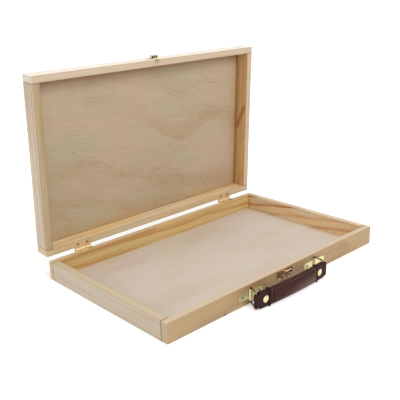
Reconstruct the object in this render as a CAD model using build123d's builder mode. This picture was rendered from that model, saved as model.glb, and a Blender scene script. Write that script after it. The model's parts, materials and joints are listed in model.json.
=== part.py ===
"""A shallow wooden brush box: a tray and a hinged lid, each a frame of four boards round a thin
plywood panel, with two brass hinges, a sprung catch and a leather handle on two wire rings.

Millimetres. The origin is the middle of the tray's underside, +X runs along the hinges to the
right, -Y is the front with the catch and the handle, +Z is up. The lid stands open on its stops.
"""
import os
from math import cos, radians, sin, sqrt

from build123d import *

os.makedirs("parts", exist_ok=True)

# --- wooden frames ----------------------------------------------------------------------------
length = 380.0
width = 234.0
tray_height = 25.0
lid_height = 22.0
long_board_thickness = 9.0
side_board_thickness = 10.0
panel_thickness = 2.5
panel_inset = 4.5
panel_play = 0.1
corner_radius = 1.6
edge_radius = 0.8
joint_radius = 0.5

# --- lid and hinges ---------------------------------------------------------------------------
open_angle = 87.0
lid_gap = 0.4
hinge_from_end = 55.0
hinge_length = 25.0
hinge_stand_off = 3.4
leaf_width = 7.4
leaf_thickness = 1.0
leaf_corner_radius = 1.0
leaf_play = 0.1
knuckle_radius = 2.2
knuckle_gap = 0.15
middle_knuckle_length = 9.0
hinge_pin_radius = 0.8
hinge_pin_head_radius = 1.5
hinge_pin_head_length = 0.6
running_clearance = 0.05
stop_drop = 6.5
stop_tail_thickness = 1.0
screw_spacing = 14.0
screw_head_radius = 2.0
screw_shank_radius = 1.0
screw_length = 7.0
screw_slot_width = 0.5
screw_slot_depth = 0.4
screw_slot_turn = 35.0
fit_clearance = 0.03

# --- catch --------------------------------------------------------------------------------------
catch_plate_width = 29.0
catch_plate_height = 12.0
catch_plate_top_gap = 1.5
sheet_thickness = 1.0
catch_foot_radius = 5.0
catch_shoulder_radius = 1.5
catch_nail_spacing = 22.0
cheek_thickness = 0.9
cheek_height = 6.6
cheek_reach = 3.9
cheek_corner_radius = 1.6
lever_width = 11.0
lever_side_gap = 0.2
lever_thickness = 1.0
lever_pivot_height = 15.0
lever_pivot_stand_off = 3.1
lever_knuckle_radius = 1.7
lever_arm_height = 7.6
lever_lip_rise = 1.7
lever_lip_reach = 2.4
lever_edge_radius = 0.2
nose_width = 3.2
nose_thickness = 1.0
nose_height = 20.3
nose_tip_gap = 0.35
catch_pin_radius = 0.7
spring_radius = 1.5
spring_width = 3.6
tongue_width = 8.0
tongue_thickness = 0.8
tongue_gap = 0.3
tongue_foot_height = 1.6
window_play = 0.3
striker_width = 20.0
striker_height = 10.0
striker_setback = 1.0
striker_bridge_height = 2.4
striker_nail_spacing = 14.0

# --- nails that hold the catch and the handle's brackets ---------------------------------------
nail_head_radius = 1.3
nail_head_height = 0.6
nail_shank_radius = 0.6
nail_length = 7.0

# --- handle -------------------------------------------------------------------------------------
handle_offset = -1.3
bracket_spacing = 120.0
bracket_height = 12.4
bracket_width = 42.0
ear_height = 9.2
tunnel_height = 14.5
tunnel_room = 1.4
bracket_nail_spacing = 28.6
wire_radius = 1.0
bar_clearance = 0.1
ring_height = 22.0
ring_reach = 17.8
ring_centre_height = 11.5
left_ring_turn = 28.8
right_ring_turn = -13.0
fold_clearance = 0.7
leather_thickness = 1.8
strap_thickness = 5.0
strap_height = 21.0
ring_to_strap_gap = 0.4
strap_corner_radius = 1.6
strap_edge_radius = 0.8
shoulder_from_bar = 2.8
handle_bow = 3.0
grip_from_bar = 20.0
grip_thickness = 9.0
grip_height = 21.6
grip_edge_radius = 3.0
core_height = 16.0
band_length = 2.4
band_wall = 0.7
snap_from_bar = 12.6
snap_radius = 4.4
snap_dome_height = 1.7
snap_rim_height = 0.5
snap_post_radius = 1.5
snap_back_radius = 4.0
snap_back_thickness = 0.8

# --- planes the pieces are built on -------------------------------------------------------------
turn = radians(open_angle)
lid_up = Vector(0, sin(turn), cos(turn))
lid_front = Vector(0, -cos(turn), sin(turn))
hinge_axis = Vector(0, width / 2 + hinge_stand_off, tray_height + lid_gap / 2)
hinge_places = (hinge_from_end - length / 2, length / 2 - hinge_from_end)

# each frame's z runs from its panel face to its rim
tray_frame = Plane.XY
lid_centre = (
    hinge_axis + lid_front * (hinge_stand_off + width / 2) + lid_up * (lid_gap / 2 + lid_height)
)
lid_frame = Plane(origin=lid_centre, x_dir=(1, 0, 0), z_dir=-lid_up)

# each front's y runs up the closed box and its z out of the front face
tray_front = Plane(origin=(0, -width / 2, 0), x_dir=(1, 0, 0), z_dir=(0, -1, 0))
lid_rim_front = hinge_axis + lid_front * (hinge_stand_off + width) + lid_up * (lid_gap / 2)
lid_front_face = Plane(origin=lid_rim_front, x_dir=(1, 0, 0), z_dir=lid_front)


def tray_leaf_frame(x):
    """On the hinge pin at x: y runs on to the tray's rim and z down into its wood."""
    return Plane(origin=hinge_axis + Vector(x, 0, 0), x_dir=(1, 0, 0), z_dir=(0, 0, -1))


def lid_leaf_frame(x):
    """On the hinge pin at x: y runs on to the lid's rim and z into its wood."""
    return Plane(origin=hinge_axis + Vector(x, 0, 0), x_dir=(-1, 0, 0), z_dir=lid_up)


def across(frame, x):
    """A plane square to the frame's x, at x along it: its x and y are the frame's y and z."""
    return Plane(origin=frame.from_local_coords((x, 0, 0)), x_dir=frame.y_dir, z_dir=frame.x_dir)


def finish(piece, name):
    """Names the piece and writes its file."""
    piece.part.label = name
    export_step(piece.part, f"parts/{name}.step")


# --- the two wooden frames ----------------------------------------------------------------------
def cut_panel_seat(frame):
    """Cuts the rabbet that the panel is let into, round the edge of the frame."""
    with BuildSketch(frame) as seat:
        Rectangle(length - 2 * panel_inset, width - 2 * panel_inset)
    extrude(seat.sketch, amount=panel_thickness, mode=Mode.SUBTRACT)


def cut_hinge_seats(frame, depth, side):
    """Cuts the mortises and pilot holes for the hinge leaves into the rim."""
    rim = frame.offset(depth)
    leaf_y = side * (width - leaf_width) / 2
    with BuildSketch(rim) as mortises:
        with Locations(*[(x, leaf_y) for x in hinge_places]):
            Rectangle(hinge_length + 2 * leaf_play, leaf_width)
    extrude(mortises.sketch, amount=-leaf_thickness, mode=Mode.SUBTRACT)
    with BuildSketch(rim) as pilot_holes:
        for x in hinge_places:
            with Locations((x, leaf_y)):
                with GridLocations(screw_spacing, 0, 2, 1):
                    Circle(screw_shank_radius + fit_clearance)
    extrude(pilot_holes.sketch, amount=-screw_length - fit_clearance, mode=Mode.SUBTRACT)


def cut_nail_holes(face, places):
    """Cuts the holes that nails leave in the wood behind a face plane."""
    with BuildSketch(face) as holes:
        with Locations(*places):
            Circle(nail_shank_radius + fit_clearance)
    extrude(holes.sketch, amount=-nail_length - fit_clearance, mode=Mode.SUBTRACT)


def long_board(frame, depth, side, hinged=False, front_face=None, nail_places=()):
    """A full-length board on the frame's +y or -y side; it covers the side boards' ends."""
    outwards = Axis(frame.origin, frame.y_dir * side)
    rimwards = Axis(frame.origin, frame.z_dir)
    with BuildPart() as board:
        with BuildSketch(frame):
            with Locations((0, side * (width - long_board_thickness) / 2)):
                Rectangle(length, long_board_thickness)
        extrude(amount=depth)
        outer_face = board.faces().sort_by(outwards)[-1]
        fillet(outer_face.edges().filter_by(rimwards), corner_radius)
        for face in (board.faces().sort_by(rimwards)[0], board.faces().sort_by(rimwards)[-1]):
            fillet(face.edges().sort_by(outwards)[1:], edge_radius)
        inner_face = board.faces().sort_by(outwards)[0]
        fillet(inner_face.edges(), joint_radius)
        cut_panel_seat(frame)
        if hinged:
            cut_hinge_seats(frame, depth, side)
        if nail_places:
            cut_nail_holes(front_face, nail_places)
    return board


def side_board(frame, depth, side):
    """A board between the two long ones, on the frame's +x or -x side."""
    outwards = Axis(frame.origin, frame.x_dir * side)
    along = Axis(frame.origin, frame.y_dir)
    with BuildPart() as board:
        with BuildSketch(frame):
            with Locations((side * (length - side_board_thickness) / 2, 0)):
                Rectangle(side_board_thickness, width - 2 * long_board_thickness)
        extrude(amount=depth)
        outer_face = board.faces().sort_by(outwards)[-1]
        fillet(outer_face.edges().filter_by(along), edge_radius)
        for end in (board.faces().sort_by(along)[0], board.faces().sort_by(along)[-1]):
            fillet(end.edges(), joint_radius)
        cut_panel_seat(frame)
    return board


def panel(frame):
    """The thin plywood panel in the rabbet, flush with the outside."""
    with BuildPart() as sheet:
        with BuildSketch(frame):
            Rectangle(
                length - 2 * (panel_inset + panel_play), width - 2 * (panel_inset + panel_play)
            )
        extrude(amount=panel_thickness)
    return sheet


bracket_places = (handle_offset - bracket_spacing / 2, handle_offset + bracket_spacing / 2)
bracket_nail_offsets = (-bracket_nail_spacing / 2, bracket_nail_spacing / 2)
bracket_nail_places = [
    (x + offset, bracket_height) for x in bracket_places for offset in bracket_nail_offsets
]
catch_plate_middle = tray_height - catch_plate_top_gap - catch_plate_height / 2
catch_nail_places = [
    (-catch_nail_spacing / 2, catch_plate_middle),
    (catch_nail_spacing / 2, catch_plate_middle),
]
striker_middle = striker_setback + striker_height / 2
striker_nail_places = [
    (-striker_nail_spacing / 2, striker_middle),
    (striker_nail_spacing / 2, striker_middle),
]

finish(
    long_board(
        tray_frame, tray_height, -1,
        front_face=tray_front, nail_places=bracket_nail_places + catch_nail_places,
    ),
    "tray_front_board",
)
finish(long_board(tray_frame, tray_height, 1, hinged=True), "tray_back_board")
finish(side_board(tray_frame, tray_height, -1), "tray_left_board")
finish(side_board(tray_frame, tray_height, 1), "tray_right_board")
finish(panel(tray_frame), "tray_bottom_panel")

finish(
    long_board(
        lid_frame, lid_height, 1, front_face=lid_front_face, nail_places=striker_nail_places
    ),
    "lid_front_board",
)
finish(long_board(lid_frame, lid_height, -1, hinged=True), "lid_back_board")
finish(side_board(lid_frame, lid_height, -1), "lid_left_board")
finish(side_board(lid_frame, lid_height, 1), "lid_right_board")
finish(panel(lid_frame), "lid_panel")

# --- hinges -------------------------------------------------------------------------------------
leaf_reach = hinge_stand_off + leaf_width
leaf_middle = hinge_stand_off + leaf_width / 2
half_hinge = hinge_length / 2
middle_knuckle = (-middle_knuckle_length / 2, middle_knuckle_length / 2)
middle_room = (middle_knuckle[0] - knuckle_gap, middle_knuckle[1] + knuckle_gap)
outer_knuckles = ((-half_hinge, middle_room[0]), (middle_room[1], half_hinge))


def barrel(frame, span, radius, mode=Mode.ADD):
    """A round length of the hinge barrel, from span[0] to span[1] along the frame's x."""
    with BuildSketch(across(frame, span[0])) as end:
        Circle(radius)
    extrude(end.sketch, amount=span[1] - span[0], mode=mode)


def leaf_plate(frame):
    """The flat of a leaf, from the pin on to the rim, with its countersunk screw holes."""
    with BuildSketch(frame.offset(lid_gap / 2)) as outline:
        with Locations((0, leaf_reach / 2)):
            Rectangle(hinge_length, leaf_reach)
    extrude(outline.sketch, amount=leaf_thickness)
    far_edge = Axis(frame.origin, frame.y_dir)
    corners = edges().filter_by(Axis(frame.origin, frame.z_dir)).group_by(far_edge)[-1]
    fillet(corners, leaf_corner_radius)
    with Locations(frame.offset(lid_gap / 2)):
        with Locations((0, leaf_middle, leaf_thickness / 2)):
            with GridLocations(screw_spacing, 0, 2, 1):
                Cone(
                    screw_head_radius + fit_clearance,
                    screw_shank_radius + fit_clearance,
                    leaf_thickness,
                    mode=Mode.SUBTRACT,
                )


def tray_leaf(x):
    """The lower leaf: two outer knuckles, and a stop lug down the back of the tray."""
    frame = tray_leaf_frame(x)
    with BuildPart() as leaf:
        leaf_plate(frame)
        # the plate stops short of the other leaf's knuckle and tail
        with BuildSketch(across(frame, middle_room[0])):
            with Locations((knuckle_radius / 2, 0)):
                Rectangle(knuckle_radius, 2 * knuckle_radius)
        extrude(amount=middle_room[1] - middle_room[0], mode=Mode.SUBTRACT)
        with BuildSketch(across(frame, middle_knuckle[0])):
            with Locations(((knuckle_radius + hinge_stand_off) / 2, (lid_gap / 2 + stop_drop) / 2)):
                Rectangle(hinge_stand_off - knuckle_radius, stop_drop - lid_gap / 2)
        extrude(amount=middle_knuckle_length)
        barrel(frame, middle_room, knuckle_radius + knuckle_gap, mode=Mode.SUBTRACT)
        for span in outer_knuckles:
            barrel(frame, span, knuckle_radius)
        barrel(frame, (-half_hinge, half_hinge), hinge_pin_radius + running_clearance, Mode.SUBTRACT)
    return leaf


def lid_leaf(x):
    """The upper leaf: the middle knuckle, and a tail that meets the stop lug when the lid is up."""
    frame = lid_leaf_frame(x)
    with BuildPart() as leaf:
        leaf_plate(frame)
        for start, end in outer_knuckles:
            barrel(
                frame,
                (start - knuckle_gap, end + knuckle_gap),
                knuckle_radius + knuckle_gap,
                mode=Mode.SUBTRACT,
            )
        barrel(frame, middle_knuckle, knuckle_radius)
        with BuildSketch(across(frame, middle_knuckle[0])):
            with Locations((-stop_drop / 2, -knuckle_radius + stop_tail_thickness / 2)):
                Rectangle(stop_drop, stop_tail_thickness)
        extrude(amount=middle_knuckle_length)
        barrel(frame, (-half_hinge, half_hinge), hinge_pin_radius + running_clearance, Mode.SUBTRACT)
    return leaf


def hinge_pin(x):
    """The pin through both leaves, headed at both ends."""
    frame = tray_leaf_frame(x)
    head_start = half_hinge + running_clearance
    head_end = head_start + hinge_pin_head_length
    with BuildPart() as pin:
        barrel(frame, (-head_start, head_start), hinge_pin_radius)
        barrel(frame, (-head_end, -head_start), hinge_pin_head_radius)
        barrel(frame, (head_start, head_end), hinge_pin_head_radius)
    return pin


def leaf_screws(leaf_frame):
    """The countersunk slotted screws of both leaves on one side of the hinges."""
    with BuildPart() as screws:
        for x in hinge_places:
            frame = leaf_frame(x).offset(lid_gap / 2)
            with Locations(frame):
                with Locations((0, leaf_middle, 0)):
                    with GridLocations(screw_spacing, 0, 2, 1):
                        with Locations((0, 0, leaf_thickness / 2)):
                            Cone(screw_head_radius, screw_shank_radius, leaf_thickness)
                        with Locations((0, 0, screw_length / 2)):
                            Cylinder(screw_shank_radius, screw_length)
                        with Locations((0, 0, screw_slot_depth / 2)):
                            Box(
                                2 * screw_head_radius, screw_slot_width, screw_slot_depth,
                                rotation=(0, 0, screw_slot_turn), mode=Mode.SUBTRACT,
                            )
    return screws


for side_name, hinge_x in zip(("left", "right"), hinge_places):
    finish(tray_leaf(hinge_x), f"hinge_{side_name}_tray_leaf")
    finish(lid_leaf(hinge_x), f"hinge_{side_name}_lid_leaf")
    finish(hinge_pin(hinge_x), f"hinge_{side_name}_pin")
finish(leaf_screws(tray_leaf_frame), "hinge_tray_screws")
finish(leaf_screws(lid_leaf_frame), "hinge_lid_screws")


# --- nails --------------------------------------------------------------------------------------
def nails(face, places):
    """Round-headed nails through a sheet that lies on a face plane."""
    with BuildPart() as group:
        with BuildSketch(face.offset(-nail_length)):
            with Locations(*places):
                Circle(nail_shank_radius)
        extrude(amount=nail_length + sheet_thickness)
        with BuildSketch(face.offset(sheet_thickness)):
            with Locations(*places):
                Circle(nail_head_radius)
        extrude(amount=nail_head_height)
        crowns = group.edges().filter_by(GeomType.CIRCLE).group_by(Axis(face.origin, face.z_dir))[-1]
        fillet(crowns, nail_head_height / 2)
    return group


def nail_bores(face, places):
    """Cuts the nails' holes through the sheet that lies on a face plane."""
    with BuildSketch(face) as bores:
        with Locations(*places):
            Circle(nail_shank_radius + fit_clearance)
    extrude(bores.sketch, amount=sheet_thickness, mode=Mode.SUBTRACT)


# --- catch on the tray --------------------------------------------------------------------------
# the profile's x runs out of the front face and its y up; it is extruded both ways
catch_profile = Plane(origin=(0, -width / 2, 0), x_dir=(0, -1, 0), z_dir=(-1, 0, 0))
cheek_middle = lever_width / 2 + lever_side_gap + cheek_thickness / 2
pivot = (lever_pivot_stand_off, lever_pivot_height)

with BuildPart() as catch_plate:
    with BuildSketch(tray_front):
        with Locations((0, catch_plate_middle)):
            Rectangle(catch_plate_width, catch_plate_height)
        foot_corners = vertices().group_by(Axis.Y)[0]
        shoulder_corners = vertices().group_by(Axis.Y)[-1]
        fillet(foot_corners, catch_foot_radius)
        fillet(shoulder_corners, catch_shoulder_radius)
    extrude(amount=sheet_thickness)
    with BuildSketch(tray_front.offset(sheet_thickness)):
        with Locations((-cheek_middle, lever_pivot_height), (cheek_middle, lever_pivot_height)):
            Rectangle(cheek_thickness, cheek_height)
    extrude(amount=cheek_reach)
    cheek_corners = catch_plate.edges().filter_by(Axis.X).group_by(Axis.Y)[0]
    fillet(cheek_corners, cheek_corner_radius)
    with BuildSketch(catch_profile):
        with Locations(pivot):
            Circle(catch_pin_radius + running_clearance)
    extrude(amount=cheek_middle + cheek_thickness, both=True, mode=Mode.SUBTRACT)
    nail_bores(tray_front, catch_nail_places)
finish(catch_plate, "catch_plate")
finish(nails(tray_front, catch_nail_places), "catch_nails")

with BuildPart() as catch_pin:
    with BuildSketch(catch_profile):
        with Locations(pivot):
            Circle(catch_pin_radius)
    extrude(amount=cheek_middle + cheek_thickness, both=True)
finish(catch_pin, "catch_pin")

with BuildPart() as catch_spring:
    with BuildSketch(catch_profile):
        with Locations(pivot):
            Circle(spring_radius)
            Circle(catch_pin_radius + running_clearance, mode=Mode.SUBTRACT)
    extrude(amount=spring_width / 2 - lever_side_gap, both=True)
finish(catch_spring, "catch_spring")

arm_back = lever_pivot_stand_off + lever_knuckle_radius - lever_thickness
arm_front = lever_pivot_stand_off + lever_knuckle_radius
arm_top = lever_pivot_height + lever_arm_height
nose_tip = sheet_thickness + nose_tip_gap
with BuildPart() as catch_lever:
    with BuildSketch(catch_profile):
        with BuildLine():
            Polyline(
                (arm_back, lever_pivot_height),
                (arm_back, arm_top),
                (arm_back + lever_lip_reach, arm_top + lever_lip_rise),
                (arm_front + lever_lip_reach, arm_top + lever_lip_rise - lever_thickness / 2),
                (arm_front, arm_top - lever_thickness / 2),
                (arm_front, lever_pivot_height),
                close=True,
            )
        make_face()
        with Locations(pivot):
            Circle(lever_knuckle_radius)
    extrude(amount=lever_width / 2, both=True)
    with BuildSketch(catch_profile):
        with Locations(((nose_tip + arm_back) / 2, nose_height + nose_thickness / 2)):
            Rectangle(arm_back - nose_tip, nose_thickness)
    extrude(amount=nose_width / 2, both=True)
    lip_edges = catch_lever.edges().filter_by(Axis.X).group_by(Axis.Y)[0]
    fillet(lip_edges, lever_edge_radius)
    with BuildSketch(catch_profile):
        with Locations(pivot):
            Circle(lever_knuckle_radius + lever_side_gap)
    extrude(amount=spring_width / 2, both=True, mode=Mode.SUBTRACT)
    with BuildSketch(catch_profile):
        with Locations(pivot):
            Circle(catch_pin_radius + running_clearance)
    extrude(amount=lever_width, both=True, mode=Mode.SUBTRACT)
finish(catch_lever, "catch_lever")

# --- striker on the lid -------------------------------------------------------------------------
# heights on the lid are measured from its rim; the closed lid's rim stands at closed_rim_height
closed_rim_height = tray_height + lid_gap
window_foot = nose_height - window_play - closed_rim_height
window_top = nose_height + nose_thickness + window_play - closed_rim_height
tongue_foot = window_foot - tongue_foot_height
tongue_back = sheet_thickness + tongue_gap
bridge_top = striker_setback + striker_bridge_height
window_width = nose_width + 2 * window_play

with BuildPart() as striker:
    with BuildSketch(lid_front_face):
        with Locations((0, striker_middle)):
            RectangleRounded(striker_width, striker_height, catch_shoulder_radius)
    extrude(amount=sheet_thickness)
    with BuildSketch(lid_front_face):
        with Locations((0, (striker_setback + bridge_top) / 2)):
            Rectangle(tongue_width, striker_bridge_height)
    extrude(amount=tongue_back + tongue_thickness)
    with BuildSketch(lid_front_face.offset(tongue_back)):
        with Locations((0, (tongue_foot + bridge_top) / 2)):
            Rectangle(tongue_width, bridge_top - tongue_foot)
        with Locations((0, (window_foot + window_top) / 2)):
            Rectangle(window_width, window_top - window_foot, mode=Mode.SUBTRACT)
    extrude(amount=tongue_thickness)
    nail_bores(lid_front_face, striker_nail_places)
finish(striker, "catch_striker")
finish(nails(lid_front_face, striker_nail_places), "striker_nails")

# --- handle brackets ----------------------------------------------------------------------------
tunnel_radius = wire_radius + tunnel_room
tunnel_outer_radius = tunnel_radius + sheet_thickness
# the ring's bar hangs against the tunnel's crown
bar_stand_off = tunnel_room - bar_clearance


def bracket(x):
    """A plate with two nailed ears and an upright tunnel that the ring's bar turns in."""
    with BuildPart() as plate:
        with BuildSketch(tray_front):
            with Locations((x, bracket_height)):
                SlotOverall(bracket_width, ear_height)
        extrude(amount=sheet_thickness)
        with BuildSketch(Plane.XY.offset(bracket_height - tunnel_height / 2)):
            with Locations((x, -width / 2)):
                Circle(tunnel_outer_radius)
            with Locations((x, -width / 2 + tunnel_outer_radius)):
                Rectangle(2 * tunnel_outer_radius, 2 * tunnel_outer_radius, mode=Mode.SUBTRACT)
        extrude(amount=tunnel_height)
        with BuildSketch(Plane.XY.offset(bracket_height - tunnel_height / 2)):
            with Locations((x, -width / 2)):
                Circle(tunnel_radius)
        extrude(amount=tunnel_height, mode=Mode.SUBTRACT)
        nail_bores(
            tray_front,
            [(x + offset, bracket_height) for offset in bracket_nail_offsets],
        )
    return plate


for side_name, bracket_x in zip(("left", "right"), bracket_places):
    finish(bracket(bracket_x), f"handle_{side_name}_bracket")
finish(nails(tray_front, bracket_nail_places), "bracket_nails")


# --- handle rings -------------------------------------------------------------------------------
def bar_place(side, turn_degrees):
    """Where a ring's outer bar stands in plan, with the ring turned outwards from square."""
    swing = radians(turn_degrees)
    return Vector(
        handle_offset + side * (bracket_spacing / 2 + ring_reach * sin(swing)),
        -width / 2 - bar_stand_off - ring_reach * cos(swing),
        0,
    )


left_bar = bar_place(-1, left_ring_turn)
right_bar = bar_place(1, right_ring_turn)


def ring(side, outer_bar):
    """A closed rectangular wire ring, from the bracket's tunnel out to the strap's fold."""
    inner_bar = Vector(handle_offset + side * bracket_spacing / 2, -width / 2 - bar_stand_off, 0)
    outwards = (outer_bar - inner_bar).normalized()
    middle = (inner_bar + outer_bar) / 2 + Vector(0, 0, ring_centre_height)
    ring_plane = Plane(origin=middle, x_dir=outwards, z_dir=outwards.cross(Vector(0, 0, 1)))
    # the bends start clear of the strap's fold
    bend_radius = wire_radius + ring_to_strap_gap
    with BuildPart() as loop:
        with BuildSketch(ring_plane, mode=Mode.PRIVATE) as centre_line:
            RectangleRounded(ring_reach, ring_height - 2 * wire_radius, bend_radius)
        path = centre_line.sketch.face().outer_wire()
        with BuildSketch(Plane(origin=path @ 0, z_dir=path % 0)):
            Circle(wire_radius)
        sweep(path=path)
    return loop


finish(ring(-1, left_bar), "handle_left_ring")
finish(ring(1, right_bar), "handle_right_ring")

# --- leather strap, grip and snaps --------------------------------------------------------------
# the handle's frame stands midway between the outer bars: x along the strap, y towards the box
bar_distance = (right_bar - left_bar).length
half_span = bar_distance / 2
bow_radius = (half_span**2 + handle_bow**2) / (2 * handle_bow)
strap_foot = ring_centre_height - strap_height / 2
handle_frame = Plane(
    origin=(left_bar + right_bar) / 2, x_dir=(right_bar - left_bar).normalized(), z_dir=(0, 0, 1)
)


def bow_y(x):
    """How far the bowed centre line of the strap lies from the line between the bars."""
    return bow_radius - handle_bow - sqrt(bow_radius**2 - x**2)


def bow_plane(x, stand_off):
    """A plane on the bowed strap at x, stand_off outside its centre line, facing outwards."""
    sideways = x / bow_radius
    outwards = handle_frame.x_dir * sideways - handle_frame.y_dir * sqrt(1 - sideways**2)
    centre = handle_frame.from_local_coords((x, bow_y(x), ring_centre_height))
    return Plane(origin=centre + outwards * stand_off, x_dir=(0, 0, 1), z_dir=outwards)


def bowed_band(x_start, x_end, thickness):
    """The plan outline of a length of the bowed strap."""
    half = thickness / 2
    bow_centre = bow_radius - handle_bow
    with Locations((0, bow_centre)):
        Circle(bow_radius + half)
        Circle(bow_radius - half, mode=Mode.SUBTRACT)
    with Locations(((x_start + x_end) / 2, bow_centre)):
        Rectangle(
            x_end - x_start, bow_radius + thickness,
            align=(Align.CENTER, Align.MAX), mode=Mode.INTERSECT,
        )


def bowed_bar(x_start, x_end, thickness, height, mode=Mode.ADD):
    """A length of the bowed strap with its thickness and height, centred on the rings' height."""
    with BuildSketch(handle_frame.offset(ring_centre_height - height / 2)) as plan:
        bowed_band(x_start, x_end, thickness)
    extrude(plan.sketch, amount=height, mode=mode)


def long_bows(piece):
    """The edges of a piece that run along the bow."""
    return piece.edges().filter_by(
        lambda edge: edge.geom_type == GeomType.CIRCLE and edge.radius > half_span
    )


along_strap = Axis(handle_frame.origin, handle_frame.x_dir)
across_strap = Axis(handle_frame.origin, handle_frame.y_dir)
tab_height = ring_height - 4 * wire_radius - 2 * ring_to_strap_gap
grip_end = half_span - grip_from_bar
shoulder = half_span - shoulder_from_bar
snap_places = (snap_from_bar - half_span, half_span - snap_from_bar)
bar_bores = {-half_span: wire_radius + bar_clearance, half_span: wire_radius + fold_clearance}

with BuildPart() as strap:
    for side in (-1, 1):
        x_start, x_end = sorted((side * shoulder, side * grip_end))
        bowed_bar(x_start, x_end, strap_thickness, strap_height)
    shoulder_edges = strap.edges().filter_by(across_strap).group_by(along_strap)
    fillet(shoulder_edges[0] + shoulder_edges[-1], strap_corner_radius)
    fillet(long_bows(strap), strap_edge_radius)
    bowed_bar(-half_span, half_span, strap_thickness, core_height)
    for side in (-1, 1):
        x_start, x_end = sorted((side * half_span, side * (shoulder - strap_corner_radius)))
        bowed_bar(x_start, x_end, strap_thickness, tab_height)
    with BuildSketch(handle_frame.offset(ring_centre_height - tab_height / 2)):
        for x, bore in bar_bores.items():
            with Locations((x, 0)):
                Circle(bore + leather_thickness)
    extrude(amount=tab_height)
    with BuildSketch(handle_frame):
        for x, bore in bar_bores.items():
            with Locations((x, 0)):
                Circle(bore)
    extrude(amount=ring_centre_height + ring_height, mode=Mode.SUBTRACT)
    for x in snap_places:
        with BuildSketch(bow_plane(x, strap_thickness)):
            Circle(snap_post_radius + fit_clearance)
        extrude(amount=-2 * strap_thickness, mode=Mode.SUBTRACT)
finish(strap, "handle_strap")

with BuildPart() as grip:
    bowed_bar(-grip_end, grip_end, grip_thickness, grip_height)
    fillet(long_bows(grip), grip_edge_radius)
    bowed_bar(
        -half_span, half_span,
        strap_thickness + 2 * fit_clearance, core_height + 2 * fit_clearance,
        mode=Mode.SUBTRACT,
    )
finish(grip, "handle_grip")

for side_name, side in (("left", -1), ("right", 1)):
    with BuildPart() as band:
        x_start, x_end = sorted((side * grip_end, side * (grip_end + band_length)))
        bowed_bar(
            x_start, x_end, strap_thickness + 2 * band_wall, strap_height + 2 * band_wall
        )
        fillet(long_bows(band), strap_edge_radius)
        bowed_bar(
            x_start, x_end,
            strap_thickness + 2 * fit_clearance, strap_height + 2 * fit_clearance,
            mode=Mode.SUBTRACT,
        )
    finish(band, f"handle_{side_name}_band")

dome_rise = snap_dome_height - snap_rim_height
dome_radius = (snap_radius**2 + dome_rise**2) / (2 * dome_rise)
dome_middle = (
    snap_radius / 2,
    snap_dome_height - dome_radius + sqrt(dome_radius**2 - snap_radius**2 / 4),
)
with BuildPart() as snap_caps:
    for x in snap_places:
        face = bow_plane(x, strap_thickness / 2)
        with BuildSketch(Plane(origin=face.origin, x_dir=face.x_dir, z_dir=-face.y_dir)):
            with BuildLine():
                Polyline(
                    (0, snap_dome_height),
                    (0, -strap_thickness - snap_back_thickness),
                    (snap_post_radius, -strap_thickness - snap_back_thickness),
                    (snap_post_radius, 0),
                    (snap_radius, 0),
                    (snap_radius, snap_rim_height),
                )
                ThreePointArc((snap_radius, snap_rim_height), dome_middle, (0, snap_dome_height))
            make_face()
        revolve(axis=Axis(face.origin, face.z_dir))
finish(snap_caps, "handle_snap_caps")

with BuildPart() as snap_backs:
    for x in snap_places:
        with BuildSketch(bow_plane(x, -strap_thickness / 2 - fit_clearance)):
            Circle(snap_back_radius)
            Circle(snap_post_radius + fit_clearance, mode=Mode.SUBTRACT)
        extrude(amount=-snap_back_thickness)
finish(snap_backs, "handle_snap_backs")
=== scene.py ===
# %% [markdown]
# # A wooden brush box with its lid open
#
# The box is a tray and a lid, each a frame of four pine boards round a thin plywood panel. Small
# brass hinges join them behind. A sprung catch and a leather handle sit in front. The exact
# pieces, their places and their joints come from a imported model. This script gives each one the
# surface that it has in real life, and models the leather of the handle.

import json
from math import cos, exp, pi, radians, sin, sqrt

import bmesh
import bpy
from mathutils import Euler, Matrix, Vector


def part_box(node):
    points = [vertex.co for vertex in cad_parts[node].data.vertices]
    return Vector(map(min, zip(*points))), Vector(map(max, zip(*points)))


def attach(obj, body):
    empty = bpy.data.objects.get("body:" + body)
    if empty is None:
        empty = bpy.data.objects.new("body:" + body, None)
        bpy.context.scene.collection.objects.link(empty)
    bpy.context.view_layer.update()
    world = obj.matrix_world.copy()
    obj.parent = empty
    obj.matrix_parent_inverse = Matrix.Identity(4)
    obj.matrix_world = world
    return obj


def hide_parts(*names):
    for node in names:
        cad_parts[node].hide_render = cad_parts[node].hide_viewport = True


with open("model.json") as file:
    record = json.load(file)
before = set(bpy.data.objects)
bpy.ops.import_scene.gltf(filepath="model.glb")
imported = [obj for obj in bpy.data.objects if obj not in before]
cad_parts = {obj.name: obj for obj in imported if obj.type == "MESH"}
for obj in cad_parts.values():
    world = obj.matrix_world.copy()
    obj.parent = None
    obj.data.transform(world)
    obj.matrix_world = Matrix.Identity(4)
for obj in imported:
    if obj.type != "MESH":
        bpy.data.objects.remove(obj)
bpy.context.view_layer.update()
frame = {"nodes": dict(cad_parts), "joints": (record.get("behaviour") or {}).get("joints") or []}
nodes = frame["nodes"]
joints = {joint["name"]: joint for joint in frame["joints"]}
MM = 0.001

# %% [markdown]
# ## The camera
#
# The view is from the front left, about nineteen degrees above the table, through a lens of
# normal length. A camera can be aimed with a Track To constraint, but a plain matrix made from
# three directions also gives the slight roll of a hand-held shot, so the matrix is used here.

# %% Place the camera
def place_object(name, data):
    """A new object at the origin, in the scene."""
    made = bpy.data.objects.new(name, data)
    bpy.context.scene.collection.objects.link(made)
    return made


camera_azimuth = radians(-42.72)
camera_elevation = radians(18.73)
camera_roll = radians(-1.81)
camera_distance = 856.3 * MM
aim_right = -20.9 * MM
aim_up = -13.0 * MM
aim_height = 100.0 * MM
sensor_width = 36.0
lens_to_sensor = 1.6284
nearest_seen = 0.01

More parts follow.
